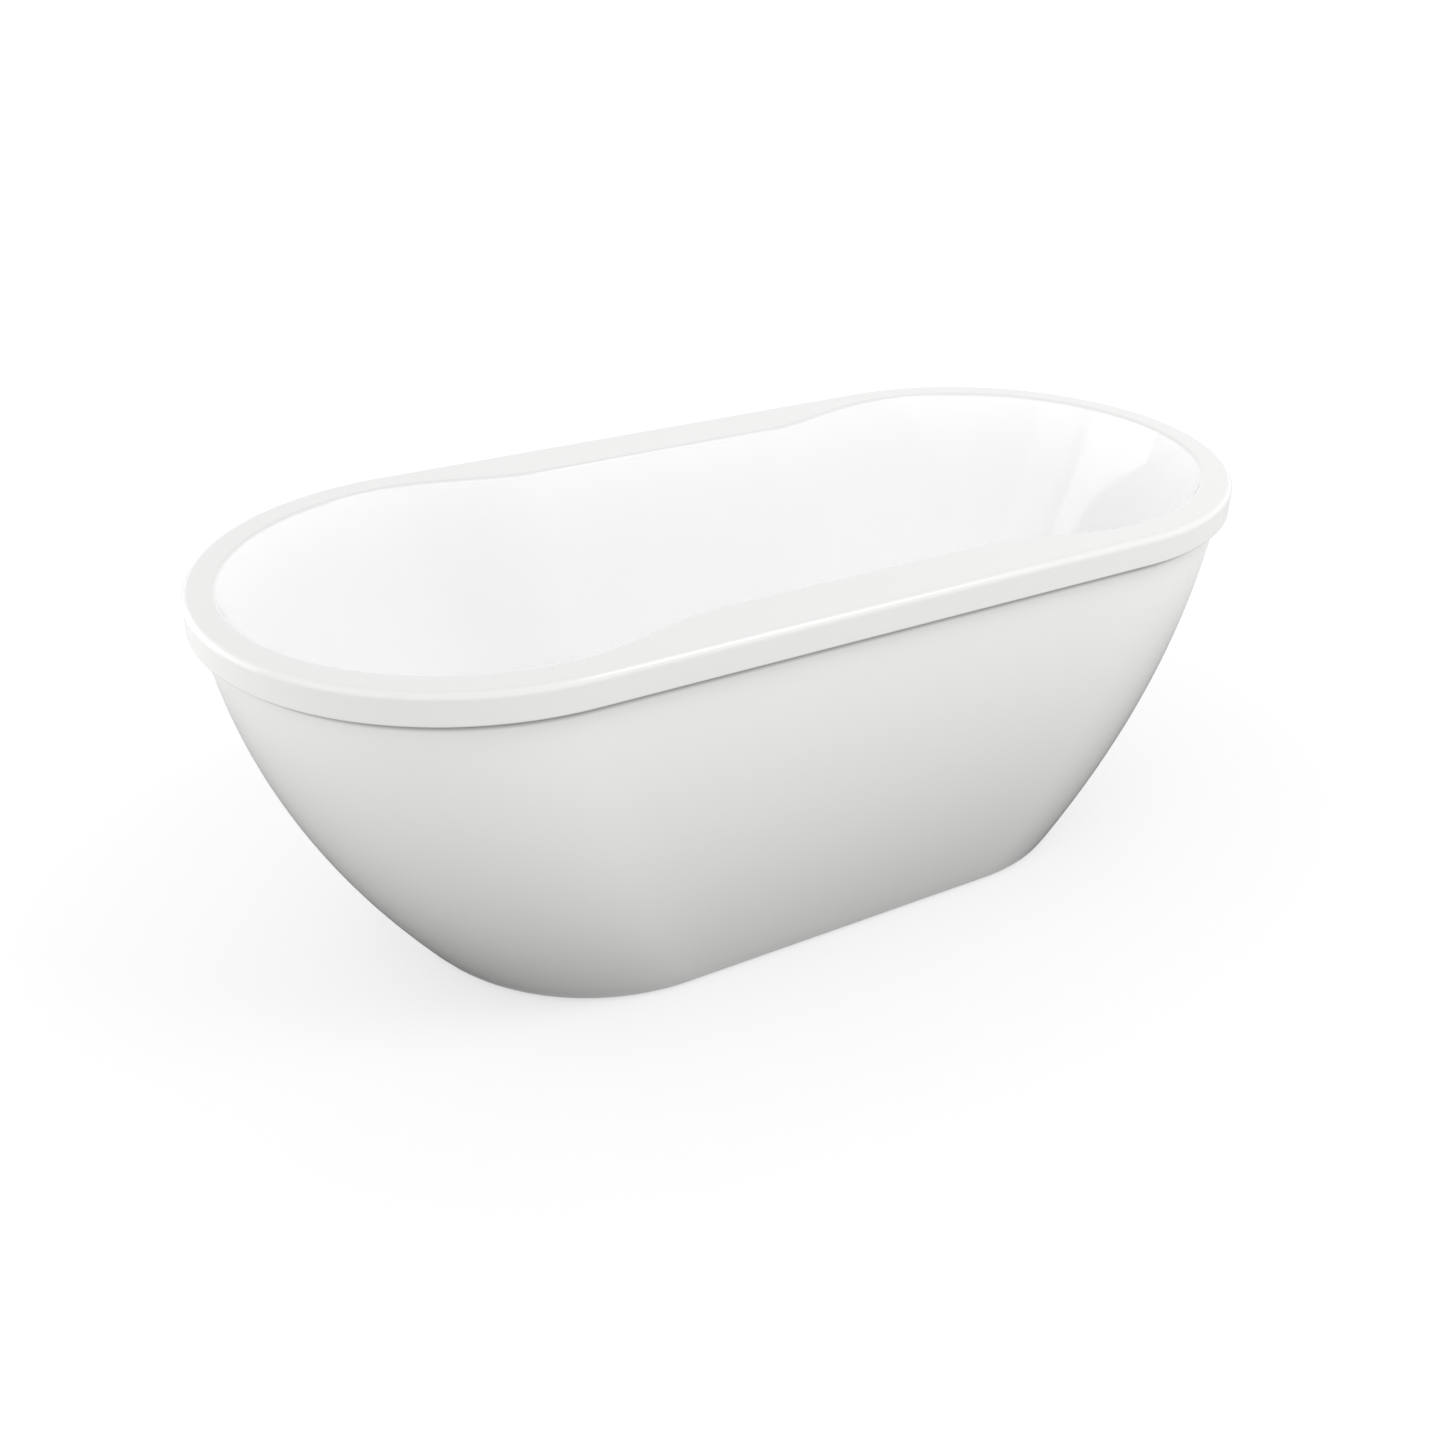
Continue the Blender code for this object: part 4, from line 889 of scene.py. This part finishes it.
def screwGrid(size, segments):
    # Domed head below z = 0, with a cross recess, and a threaded, pointed shank above it. Dome:
    # r = R sin t, z = -H cos t. Recess: sunk where the lesser of |x| and |y| is under its half width.
    head, high, shank, length = size["head"], size["height"], size["shank"], size["length"]
    shape, dome = screwShape, screwShape["domeShare"]
    t = np.linspace(0, quarterTurn, shape["domeRows"])
    domeRadius = head * np.sin(t)[:, None] ** shape["domePower"]
    angle = np.arange(segments)[None] * (fullTurn / segments)
    across = np.minimum(abs(domeRadius * np.cos(angle)), abs(domeRadius * np.sin(angle)))
    slot = smoothStep((head * shape["slotHalf"] - across) / (head * shape["slotSide"]))
    slot = slot * smoothStep((head * shape["slotReach"] - domeRadius) / (head * shape["slotEnd"]))
    domeHeight = -high * (1 - dome + dome * np.cos(t)[:, None]) + slot * high * shape["slotDepth"]
    z = np.linspace(shape["threadStart"], length, int(length / size["pitch"] * shape["rowsPerTurn"]))
    point = np.clip((length - z) / (shape["pointLength"] * shank), shape["pointTip"], 1)[:, None]
    thread = threadDepth(z, segments, size["pitch"]) * shape["threadShare"]
    rows = [np.broadcast_to(domeRadius, domeHeight.shape), np.full((1, segments), head),
            np.full((1, segments), shank), shank * (1 - thread) * point, np.zeros((1, segments))]
    heights = [domeHeight, np.zeros((2, segments)), np.repeat(z[:, None], segments, axis=1),
               np.full((1, segments), length)]
    return turned(np.concatenate(rows), np.concatenate(heights), segments)


def screwPiece(name, node, kind, seat, tilt=0.0, segments=40):
    grid = placed(screwGrid(screwSizes[kind], segments), seat, tilt)
    finishPiece(gridPiece(name, grid, closeRows=False, sharpAngle=screwShape["sharpAngle"]), node)


for n, node in enumerate(boardScrews, start=1):
    seatZ = nodeBox(node)[0][2] + screwSizes["board"]["height"]
    screwPiece(f"boardScrew{n}", node, "board", (*nodeCentre(node)[:2], seatZ))
for n, node in enumerate(bracketScrews, start=1):
    seatZ = nodeBox(node)[1][2] - screwSizes["bracket"]["height"]
    screwPiece(f"bracketScrew{n}", node, "bracket", (*nodeCentre(node)[:2], seatZ), math.pi)


# Levelling feet

print("building the levelling feet")
foot = {
    "radius": 0.025, "edge": 0.006, "neck": 0.012, "height": 0.016, "socket": 0.0066, "ribs": 18,
    "rib": 0.0005, "ribStart": (0.016, 0.001), "ribBlend": (0.004, 0.002), "padSegments": 144,
    "rounding": (0, 0.0012, 0.002, 0.0012, 0.0005, 0.0004, 0), "roundSteps": 5,
    "stem": 0.006, "pitch": 0.00175, "depth": 0.00095, "chamfer": 0.0012, "segments": 36, "rowsPerTurn": 8,
    "nutFlats": 0.019, "nutBore": 0.0067, "nutDepth": 0.0005, "nutFace": 0.94, "nutSlope": 1.732,
    "nutFlare": 0.0007, "nutRows": 25, "nutSegments": 72,
}


def padGrid(seat):
    # A turned pad with a blind socket, and grip ribs round its upright edge and slope.
    corners = [(0, 0), (foot["radius"], 0), (foot["radius"], foot["edge"]), (foot["neck"], foot["height"]),
               (foot["socket"], foot["height"]), (foot["socket"], seat), (0, seat)]
    profile = rounded(corners, foot["rounding"], foot["roundSteps"], closed=False)
    share = smoothStep((profile - foot["ribStart"]) / foot["ribBlend"]).prod(axis=1)[:, None]
    ribs = foot["rib"] * share * lobes(foot["padSegments"], foot["ribs"])
    return turned(profile[:, :1] - ribs, profile[:, 1], foot["padSegments"])


def footRows(low, high):
    return int((high - low) / foot["pitch"] * foot["rowsPerTurn"])


def stemGrid(low, high):
    # r = R - depth x thread, held under a 45 degree chamfer at both ends.
    z = np.linspace(low, high, footRows(low, high))
    thread = foot["stem"] - foot["depth"] * threadDepth(z, foot["segments"], foot["pitch"])
    chamfer = foot["stem"] - foot["chamfer"] + np.minimum(z - low, high - z)[:, None]
    return capped(turned(np.minimum(thread, chamfer), z, foot["segments"]))


def nutGrid(low, high):
    # Outside: the lesser of the hexagon (flats / 2) / cos(a) and the 30 degree chamfer's cone.
    # Inside: a threaded bore.
    segments, half = foot["nutSegments"], foot["nutFlats"] / 2
    angle = np.arange(segments) * (fullTurn / segments)
    wedge = (angle + math.pi / 6) % (math.pi / 3) - math.pi / 6
    rise = (high - low) * (1 - np.cos(np.linspace(0, math.pi, foot["nutRows"]))) / 2
    cone = half * foot["nutFace"] + foot["nutSlope"] * np.minimum(rise, high - low - rise)[:, None]
    outside = np.minimum(half / np.cos(wedge)[None], cone)
    z = np.linspace(high, low, footRows(low, high))
    inside = foot["nutBore"] - foot["nutDepth"] * (1 - threadDepth(z, segments, foot["pitch"]))
    flare = foot["nutBore"] + foot["nutFlare"] - np.minimum(z - low, high - z)[:, None]
    radius = np.concatenate([outside, np.maximum(inside, flare)])
    return turned(radius, np.concatenate([low + rise, z]), segments)


for n, node in enumerate(footStems, start=1):
    x, y, _ = nodeCentre(node)
    low, high = (corner[2] for corner in nodeBox(node))
    stem = gridPiece(f"footStem{n}", placed(stemGrid(low, high), (x, y, 0)), closeRows=False, sharpAngle=60)
    finishPiece(stem, node, f"foot_{n}_screw")
    pad = gridPiece(f"footPad{n}", placed(padGrid(low - clearance), (x, y, 0)), closeRows=False)
    finishPiece(pad, f"foot_pad_{n}", f"foot_{n}_pad")
    low, high = (corner[2] for corner in nodeBox(f"foot_lock_nut_{n}"))
    finishPiece(gridPiece(f"footLockNut{n}", placed(nutGrid(low, high), (x, y, 0))), f"foot_lock_nut_{n}")


# Click waste

print("building the waste and the overflow")
waste = {"flange": 0.035, "tail": 0.0235, "bore": 0.0205, "flangeHeight": 0.003, "threadPitch": 0.0018,
         "threadDepth": 0.0007, "threadEnds": (0.0008, 0.004), "threadFade": 0.001, "threadRows": 100,
         "flangeRounding": (0.0004, 0.0006, 0.0003, 0.0005, 0.0022, 0.0018), "flangeSteps": 6,
         "segments": 72, "spoke": 0.003, "spokeHeight": 0.006, "spokeGrip": 0.0008, "spokeEdge": 0.0006,
         "hub": 0.008, "hubBore": 0.0045, "hubHeight": 0.012, "hubDrop": 0.030, "hubEdge": 0.0008,
         "collar": 0.042, "collarHeight": 0.005, "body": 0.030, "bodyTaper": 0.016, "tee": 0.024,
         "bodyRounding": (0.0006, 0.001, 0.004, 0.002, 0.0012, 0.0012, 0.0005, 0.0004, 0.0005),
         "teeBore": 0.019, "branch": 0.0195, "branchBore": 0.0166, "branchReach": 0.062, "branchZ": 0.055,
         "gasket": 0.040, "gasketBore": 0.0262, "seal": 0.0255, "sealInner": 0.015, "nutWall": 0.006,
         "nutRounding": (0.0006, 0.0012, 0.0018, 0.0006), "roundSteps": 5, "ringSegments": 96}


def heights(node):
    low, high = nodeBox(node)
    return low[2], high[2]


def flangePiece():
    # A turned flange on a threaded tail, with a cross of spokes that holds the post's hub.
    bottom, top = heights("drain_flange")
    seat = top - waste["flangeHeight"]
    corners = [(waste["bore"], bottom), (waste["tail"], bottom), (waste["tail"], seat),
               (waste["flange"], seat), (waste["flange"], top), (waste["bore"], top)]
    profile = rounded(corners, waste["flangeRounding"], waste["flangeSteps"])
    tailEnd, rows = 2 * (waste["flangeSteps"] + 1), waste["threadRows"]
    z = np.linspace(bottom + waste["threadEnds"][0], seat - waste["threadEnds"][1], rows)
    radius = np.concatenate([profile[:tailEnd, 0], np.full(rows, waste["tail"]), profile[tailEnd:, 0]])
    height = np.concatenate([profile[:tailEnd, 1], z, profile[tailEnd:, 1]])
    cut = np.zeros(len(radius))
    fade = smoothStep(np.minimum(z - z[0], z[-1] - z) / waste["threadFade"])
    cut[tailEnd:tailEnd + rows] = waste["threadDepth"] * fade
    segments = waste["segments"]
    radius = radius[:, None] - cut[:, None] * threadDepth(height, segments, waste["threadPitch"])
    flange = gridPiece("drainFlange", turned(radius, height, segments))
    hubFoot = top - waste["hubDrop"]
    half = np.array([waste["bore"] + waste["spokeGrip"], waste["spoke"] / 2, waste["spokeHeight"] / 2])
    centre = np.array([0, 0, hubFoot + waste["hubHeight"] / 2])
    bar = blockGrid(-half, half, waste["spokeEdge"])
    joinGrid(flange, bar + centre)
    joinGrid(flange, bar[..., [1, 0, 2]] + centre)
    corners = [(0, 0), (waste["hub"], 0), (waste["hub"], waste["hubHeight"]), (0, waste["hubHeight"])]
    hub = turnedProfile(rounded(corners, waste["hubEdge"], closed=False), 48)
    joinGrid(flange, placed(hub, (0, 0, hubFoot)))
    return cutGrid(flange, rodGrid(waste["hubBore"], hubFoot - beyond, hubFoot + beyond, 40))


def ringPiece(name, node, inner, outer, rounding, body="tub"):
    # A turned ring between a node's lowest and highest points.
    low, high = heights(node)
    profile = rounded([(inner, low), (outer, low), (outer, high), (inner, high)], rounding)
    finishPiece(gridPiece(name, turnedProfile(profile, waste["ringSegments"])), node, body)


def grippedGrid(profile, grip):
    # A turned body with grip flutes where it is widest: r = R - depth x share x lobes ^ power.
    radius, height = profile.T
    share = smoothStep((radius - grip["start"]) / grip["blend"])[:, None]
    flutes = lobes(grip["segments"], grip["count"]) ** grip["power"]
    return turned(radius[:, None] - grip["depth"] * share * flutes, height, grip["segments"])


finishPiece(flangePiece(), "drain_flange")
ringPiece("drainGasket", "drain_gasket", waste["gasketBore"], waste["gasket"], 0.0007)
ringPiece("stopperSeal", "stopper_seal", waste["sealInner"], waste["seal"], 0.0009, "stopper")

# stopper: a cap with a shallow groove round its crown, on a post with a threaded middle
cap = {"radius": 0.029, "crown": 0.021, "crownRise": 0.0009, "shoulder": 0.0012, "steps": 8,
       "rounding": (0, 0.0008, 0.0016, 0), "crownRows": 12, "segments": 96,
       "groove": ((0.0245, 0.0012), (0.0238, 0.0018), (0.0226, 0.0018), (0.0218, 0.0010))}
capFoot, capTop = heights("stopper_cap")
shoulder = capTop - cap["shoulder"]
arc = np.linspace(0, quarterTurn, cap["crownRows"])
crown = np.column_stack([cap["crown"] * np.cos(arc), capTop - cap["crownRise"] * (1 - np.sin(arc))])
corners = [(0, capFoot), (cap["radius"], capFoot), (cap["radius"], shoulder), (cap["crown"], shoulder)]
capSide = rounded(corners, cap["rounding"], cap["steps"], closed=False)[:-1]
groove = [(radius, capTop - depth) for radius, depth in cap["groove"]]
capGrid = turnedProfile(np.concatenate([capSide, groove, crown]), cap["segments"])
finishPiece(gridPiece("stopperCap", capGrid, closeRows=False), "stopper_cap", "stopper")

post = {"radius": 0.004, "groove": 0.0005, "pitch": 0.0020, "threadHalf": 0.014, "chamfer": 0.0008,
        "rows": 160, "segments": 40, "sharpAngle": 60}
z = np.linspace(*heights("stopper_post"), post["rows"])
threaded = (np.abs(z - z.mean()) < post["threadHalf"])[:, None]
thread = post["radius"] - post["groove"] * threadDepth(z, post["segments"], post["pitch"]) * threaded
chamfer = post["radius"] - post["chamfer"] + np.minimum(z - z[0], z[-1] - z)[:, None]
postGrid = capped(turned(np.minimum(thread, chamfer), z, post["segments"]))
finishPiece(gridPiece("stopperPost", postGrid, closeRows=False, sharpAngle=post["sharpAngle"]),
            "stopper_post", "stopper")

# waste body: a fluted collar on a cup that narrows to the tee
bodyGrip = {"start": 0.038, "blend": 0.002, "depth": 0.0012, "count": 24, "power": 1, "segments": 216}
bodyFoot, bodyTop = heights("drain_body")
tailFoot = heights("drain_flange")[0] - clearance
tailBore = waste["tail"] + 2 * clearance
collarFoot = bodyTop - waste["collarHeight"]
corners = [(waste["teeBore"], bodyFoot), (waste["tee"], bodyFoot),
           (waste["body"], bodyFoot + waste["bodyTaper"]), (waste["body"], collarFoot),
           (waste["collar"], collarFoot), (waste["collar"], bodyTop), (tailBore, bodyTop),
           (tailBore, tailFoot), (waste["teeBore"], tailFoot)]
bodyProfile = rounded(corners, waste["bodyRounding"], waste["roundSteps"])
finishPiece(gridPiece("drainBody", grippedGrid(bodyProfile, bodyGrip)), "drain_body")

# tee: an upright run and a level branch for the overflow's hose
pipe = {"bead": 0.0012, "beadRise": 0.006, "ramp": 0.002, "edge": 0.001, "beadEdge": 0.0008, "steps": 5}


def pipeProfile(radius, low, high):
    # A solid round bar with a raised bead round its upper end.
    beadFoot, outer, edge = high - pipe["beadRise"], radius + pipe["bead"], pipe["edge"]
    corners = [(0, low), (radius, low), (radius, beadFoot - pipe["ramp"]), (outer, beadFoot), (outer, high),
               (0, high)]
    return rounded(corners, [0, edge, pipe["ramp"], pipe["beadEdge"], edge, 0], pipe["steps"], closed=False)


teeFoot, teeTop = heights("waste_tee")
branchPlace = ((0, 0, waste["branchZ"]), quarterTurn)
tee = gridPiece("wasteTee", turnedProfile(pipeProfile(waste["tee"], teeFoot, teeTop)), closeRows=False)
joinGrid(tee, placed(turnedProfile(pipeProfile(waste["branch"], 0, waste["branchReach"])), *branchPlace))
cutGrid(tee, rodGrid(waste["teeBore"], teeFoot - beyond, teeTop + beyond, waste["segments"]))
branchBore = rodGrid(waste["branchBore"], waste["tee"] / 2, waste["branchReach"] + beyond, waste["segments"])
finishPiece(cutGrid(tee, placed(branchBore, *branchPlace)), "waste_tee")

nutLow, nutHigh = heights("outlet_nut")
nutBore = waste["tee"] + clearance
nutOuter = nutBore + waste["nutWall"]
nutGrip = {"start": nutBore + 0.004, "blend": 0.0015, "depth": 0.0011, "count": 16, "power": 2,
           "segments": 192}
corners = [(nutBore, nutLow), (nutOuter, nutLow), (nutOuter, nutHigh), (nutBore, nutHigh)]
nutProfile = rounded(corners, waste["nutRounding"], waste["roundSteps"])
finishPiece(gridPiece("outletNut", grippedGrid(nutProfile, nutGrip)), "outlet_nut")


# Overflow

overflow = {"cover": 0.034, "coverDepth": 0.010, "coverWall": 0.0022, "screwHole": 0.0034,
            "coverRounding": (0.0006, 0.0008, 0.0042, 0.0005, 0.0003, 0.0020), "coverSteps": 7,
            "coverSegments": 120, "slot": (0.030, 0.020), "slotEdge": 0.0024, "screwSegments": 64,
            "gasket": 0.003, "gasketEdge": 0.0007, "flange": 0.034, "flangeThick": 0.004,
            "elbow": 0.025, "elbowDepth": 0.040, "elbowWall": 0.003, "elbowSteps": 6, "elbowSegments": 96,
            "elbowRounding": (0, 0.004, 0.002, 0.001, 0.0008, 0), "chamberPast": 0.003, "outlet": 0.0195,
            "outletLength": 0.048, "outletBore": 0.0166, "outletStart": 0.001, "boreSegments": 60}
wallThrough = bath["thickness"] * math.cos(overflowSlope)
rim = overflow["coverDepth"] + clearance
coverInner, coverFloor = overflow["cover"] - overflow["coverWall"], rim - overflow["coverWall"]
corners = [(coverInner, clearance), (overflow["cover"], clearance), (overflow["cover"], rim),
           (overflow["screwHole"], rim), (overflow["screwHole"], coverFloor), (coverInner, coverFloor)]
coverProfile = rounded(corners, overflow["coverRounding"], overflow["coverSteps"])
cover = gridPiece("overflowCover", alongOverflow(turnedProfile(coverProfile, overflow["coverSegments"])))
slotHalf = np.array([*overflow["slot"], overflow["coverDepth"]]) / 2
slotPlace = np.array([0, -overflow["cover"], 0])
cutGrid(cover, alongOverflow(blockGrid(slotPlace - slotHalf, slotPlace + slotHalf, overflow["slotEdge"])))
finishPiece(cover, "overflow_cover")
screwPiece("overflowScrew", "overflow_screw", "overflow", overflowCentre + intoBasin * (rim + clearance),
           overflowTilt + math.pi, overflow["screwSegments"])

back = -wallThrough - clearance
gasketBack = back - overflow["gasket"]
corners = [(shellHoles["overflow"], gasketBack), (overflow["flange"], gasketBack),
           (overflow["flange"], back), (shellHoles["overflow"], back)]
gasketGrid = turnedProfile(rounded(corners, overflow["gasketEdge"]), overflow["elbowSegments"])
finishPiece(gridPiece("overflowGasket", alongOverflow(gasketGrid)), "overflow_gasket")

seat = gasketBack - clearance
flangeBack = seat - overflow["flangeThick"]
elbowFloor = seat - overflow["elbowDepth"]
corners = [(0, elbowFloor), (overflow["elbow"], elbowFloor), (overflow["elbow"], flangeBack),
           (overflow["flange"], flangeBack), (overflow["flange"], seat), (0, seat)]
elbowProfile = rounded(corners, overflow["elbowRounding"], overflow["elbowSteps"], closed=False)
elbowGrid = alongOverflow(turnedProfile(elbowProfile, overflow["elbowSegments"]))
elbow = gridPiece("overflowElbow", elbowGrid, closeRows=False)
outletY = overflowCentre[1] - (wallThrough + overflow["gasket"] + overflow["elbowDepth"] - overflow["outlet"])
outletPlace = ((0, outletY, overflowCentre[2]), math.pi)
outlet = turnedProfile(pipeProfile(overflow["outlet"], 0, overflow["outletLength"]))
joinGrid(elbow, placed(outlet, *outletPlace))
chamber = rodGrid(overflow["elbow"] - overflow["elbowWall"], elbowFloor + overflow["elbowWall"],
                  seat + overflow["chamberPast"], waste["segments"])
hollow = gridPiece("elbowHollow", alongOverflow(chamber), closeRows=False)
outletBore = rodGrid(overflow["outletBore"], overflow["outletStart"], overflow["outletLength"] + beyond,
                     overflow["boreSegments"])
joinGrid(hollow, placed(outletBore, *outletPlace))
finishPiece(combine(elbow, hollow), "overflow_elbow")

hose = {"radius": 0.016, "bore": 0.0132, "socket": 0.014, "teeSocket": 0.016, "straightDrop": 0.030,
        "curveDrop": 0.300, "levelReach": 0.140, "levelY": -0.160, "ribPitch": 0.0045, "ribDepth": 0.0017,
        "cuff": 0.022, "cuffBlend": 0.006, "rowsPerRib": 7, "boreStride": 6, "segments": 32,
        "straightSteps": 20, "curveSteps": 200, "levelSteps": 40, "sharpAngle": 70}


def hosePath():
    # Straight down, then B(t) = (1-t)^3 a + 3 (1-t)^2 t b + 3 (1-t) t^2 c + t^3 d, then level into
    # the tee, with its points moved to equal steps along its length.
    top = np.array([0, outletY, overflowCentre[2] - overflow["outletLength"] + hose["socket"]])
    a = top - (0, 0, hose["straightDrop"])
    d = np.array([0, hose["levelY"], waste["branchZ"]])
    b, c = a - (0, 0, hose["curveDrop"]), d - (0, hose["levelReach"], 0)
    t = np.linspace(0, 1, hose["curveSteps"])[:, None]
    curve = (1 - t) ** 3 * a + 3 * (1 - t) ** 2 * t * b + 3 * (1 - t) * t ** 2 * c + t ** 3 * d
    end = np.array([0, hose["teeSocket"] - waste["branchReach"], waste["branchZ"]])
    path = np.concatenate([np.linspace(top, a, hose["straightSteps"])[:-1], curve,
                           np.linspace(d, end, hose["levelSteps"])[1:]])
    length = np.concatenate([[0], np.cumsum(np.linalg.norm(np.diff(path, axis=0), axis=1))])
    even = np.linspace(0, length[-1], int(length[-1] / hose["ribPitch"] * hose["rowsPerRib"]))
    return np.column_stack([np.interp(even, length, path[:, k]) for k in range(3)]), even


def hoseGrid():
    # r = R - depth (1 - cos(2 pi s / pitch)) / 2 between plain cuffs, and back along a plain bore.
    path, s = hosePath()
    ribbed = smoothStep((np.minimum(s, s[-1] - s) - hose["cuff"]) / hose["cuffBlend"])
    outer = hose["radius"] - ribbed * hose["ribDepth"] * (1 - np.cos(fullTurn * s / hose["ribPitch"])) / 2
    angle = np.arange(hose["segments"]) * (fullTurn / hose["segments"])
    circle = np.stack([np.cos(angle), np.sin(angle)], axis=1)[None]
    outside = carried(path, outer[:, None, None] * circle, (1, 0, 0))
    inside = carried(path[::hose["boreStride"]], hose["bore"] * circle, (1, 0, 0))
    return np.concatenate([outside, inside[::-1]])


finishPiece(gridPiece("overflowHose", hoseGrid(), sharpAngle=hose["sharpAngle"]), "overflow_hose")


# Studio

studio = {
    "target": (-0.0837, -0.0648, 0.2750), "distance": 2.5477, "azimuth": -30.557, "elevation": 28.889,
    "roll": 0.627, "lens": 40.351, "sensor": 36.0, "clip": (0.05, 200.0),
    "floorSize": 60.0, "floorHeight": -0.0005, "bounceHeight": -0.0010,
    "floorColor": (0.36, 0.36, 0.36), "floorShade": 0.99, "grainSize": 1.5,
    # the seen floor's glow is painted light, dimmer round the tub as a painted shadow
    "paintedGlowNear": (0.58, 0.58, 0.58), "paintedGlowFar": (0.88, 0.88, 0.88), "paintedShadowReach": (0.5, 2.6),
    "bounceNear": (0.14, 0.14, 0.14), "bounceFar": (0.75, 0.75, 0.75), "bounceReach": (0.35, 1.4),
    "skyZenith": 0.72, "skyHorizon": 1.50,
}
lamps = {
    "keyLamp": {"place": (1.6, -2.1, 3.6), "aim": (0, 0, 0.3), "size": (1.8, 1.8), "power": 43.0,
                "color": (1.0, 0.995, 0.985)},
    "stripLamp": {"place": (-2.22, 1.85, 0.92), "aim": (0.75, 0.0, 0.92), "size": (2.8, 1.84), "power": 23.0},
    "fillLamp": {"place": (-3.2, -0.6, 2.2), "aim": (0, 0, 0.3), "size": (1.8, 1.8), "power": 5.4},
}


def placeCamera():
    # Azimuth 0 looks along +Y, elevation is above the horizon, and roll turns about the view.
    azimuth, elevation = math.radians(studio["azimuth"]), math.radians(studio["elevation"])
    back = Vector((math.sin(azimuth) * math.cos(elevation), -math.cos(azimuth) * math.cos(elevation),
                   math.sin(elevation)))
    data = bpy.data.cameras.new("studioCamera")
    data.lens = studio["lens"]
    data.sensor_width = studio["sensor"]
    data.clip_start, data.clip_end = studio["clip"]
    camera = bpy.data.objects.new("studioCamera", data)
    bpy.context.scene.collection.objects.link(camera)
    camera.rotation_mode = "QUATERNION"
    camera.location = Vector(studio["target"]) + back * studio["distance"]
    turn = Quaternion((0, 0, 1), math.radians(studio["roll"]))
    camera.rotation_quaternion = (-back).to_track_quat("-Z", "Y") @ turn
    bpy.context.scene.camera = camera


def placeFloor(name, height, shown):
    # One floor is seen, and the other, just below it, only sends light back up. That one is dark
    # round the tub and pale further out, as a studio floor is under a product's own shade.
    half = studio["floorSize"] / 2
    corners = [(-half, -half, height), (half, -half, height), (half, half, height), (-half, half, height)]
    mesh = bpy.data.meshes.new(name)
    mesh.from_pydata(corners, [], [(0, 1, 2, 3)])
    floor = bpy.data.objects.new(name, mesh)
    bpy.context.scene.collection.objects.link(floor)
    sheet = Sheet(name, {"Roughness": 0.9, "Specular IOR Level": 0.1})
    away = sheet.fromSpine()
    if shown:
        shade = tuple(c * studio["floorShade"] for c in studio["floorColor"])
        grain = sheet.noise(studio["grainSize"], 2.0, 0.5)
        sheet.feed("Base Color", sheet.mix(grain, studio["floorColor"], shade))
        # painted light and shadow: the seen floor glows, less round the tub, a painted shadow of the tub
        reach = sheet.between(away, *studio["paintedShadowReach"])
        sheet.feed("Emission Color", sheet.mix(reach, studio["paintedGlowNear"], studio["paintedGlowFar"]))
        sheet.shader.inputs["Emission Strength"].default_value = 1.0
    else:
        reach = sheet.between(away, *studio["bounceReach"])
        sheet.feed("Base Color", sheet.mix(reach, studio["bounceNear"], studio["bounceFar"]))
    mesh.materials.append(sheet.material)
    floor.visible_diffuse = not shown
    floor.visible_glossy = not shown
    floor.visible_shadow = not shown
    floor.visible_camera = shown


def placeSky():
    # A plain overcast dome, brightest round the horizon.
    world = bpy.data.worlds.new("studioSky")
    world.use_nodes = True
    tree = world.node_tree
    background = tree.nodes["Background"]
    place = tree.nodes.new("ShaderNodeTexCoord")
    split = tree.nodes.new("ShaderNodeSeparateXYZ")
    tree.links.new(place.outputs["Generated"], split.inputs[0])
    rise = tree.nodes.new("ShaderNodeMapRange")
    rise.inputs["To Min"].default_value = studio["skyHorizon"]
    rise.inputs["To Max"].default_value = studio["skyZenith"]
    tree.links.new(split.outputs["Z"], rise.inputs["Value"])
    tree.links.new(rise.outputs[0], background.inputs["Strength"])
    background.inputs["Color"].default_value = (1.0, 1.0, 1.0, 1.0)
    bpy.context.scene.world = world


def placeLamp(name, place, aim, size, power, color=(1, 1, 1)):
    data = bpy.data.lights.new(name, "AREA")
    data.shape = "RECTANGLE"
    data.size, data.size_y = size
    data.energy = power
    data.color = color
    lamp = bpy.data.objects.new(name, data)
    bpy.context.scene.collection.objects.link(lamp)
    lamp.location = place
    lamp.rotation_mode = "QUATERNION"
    lamp.rotation_quaternion = (Vector(aim) - Vector(place)).to_track_quat("-Z", "Y")
    lamp.visible_camera = False


print("setting up the studio")
placeCamera()
placeFloor("studioFloor", studio["floorHeight"], shown=True)
placeFloor("studioFloorBounce", studio["bounceHeight"], shown=False)
placeSky()
for lampName, lamp in lamps.items():
    placeLamp(lampName, **lamp)
bpy.context.scene.view_settings.view_transform = "Standard"

print("done")
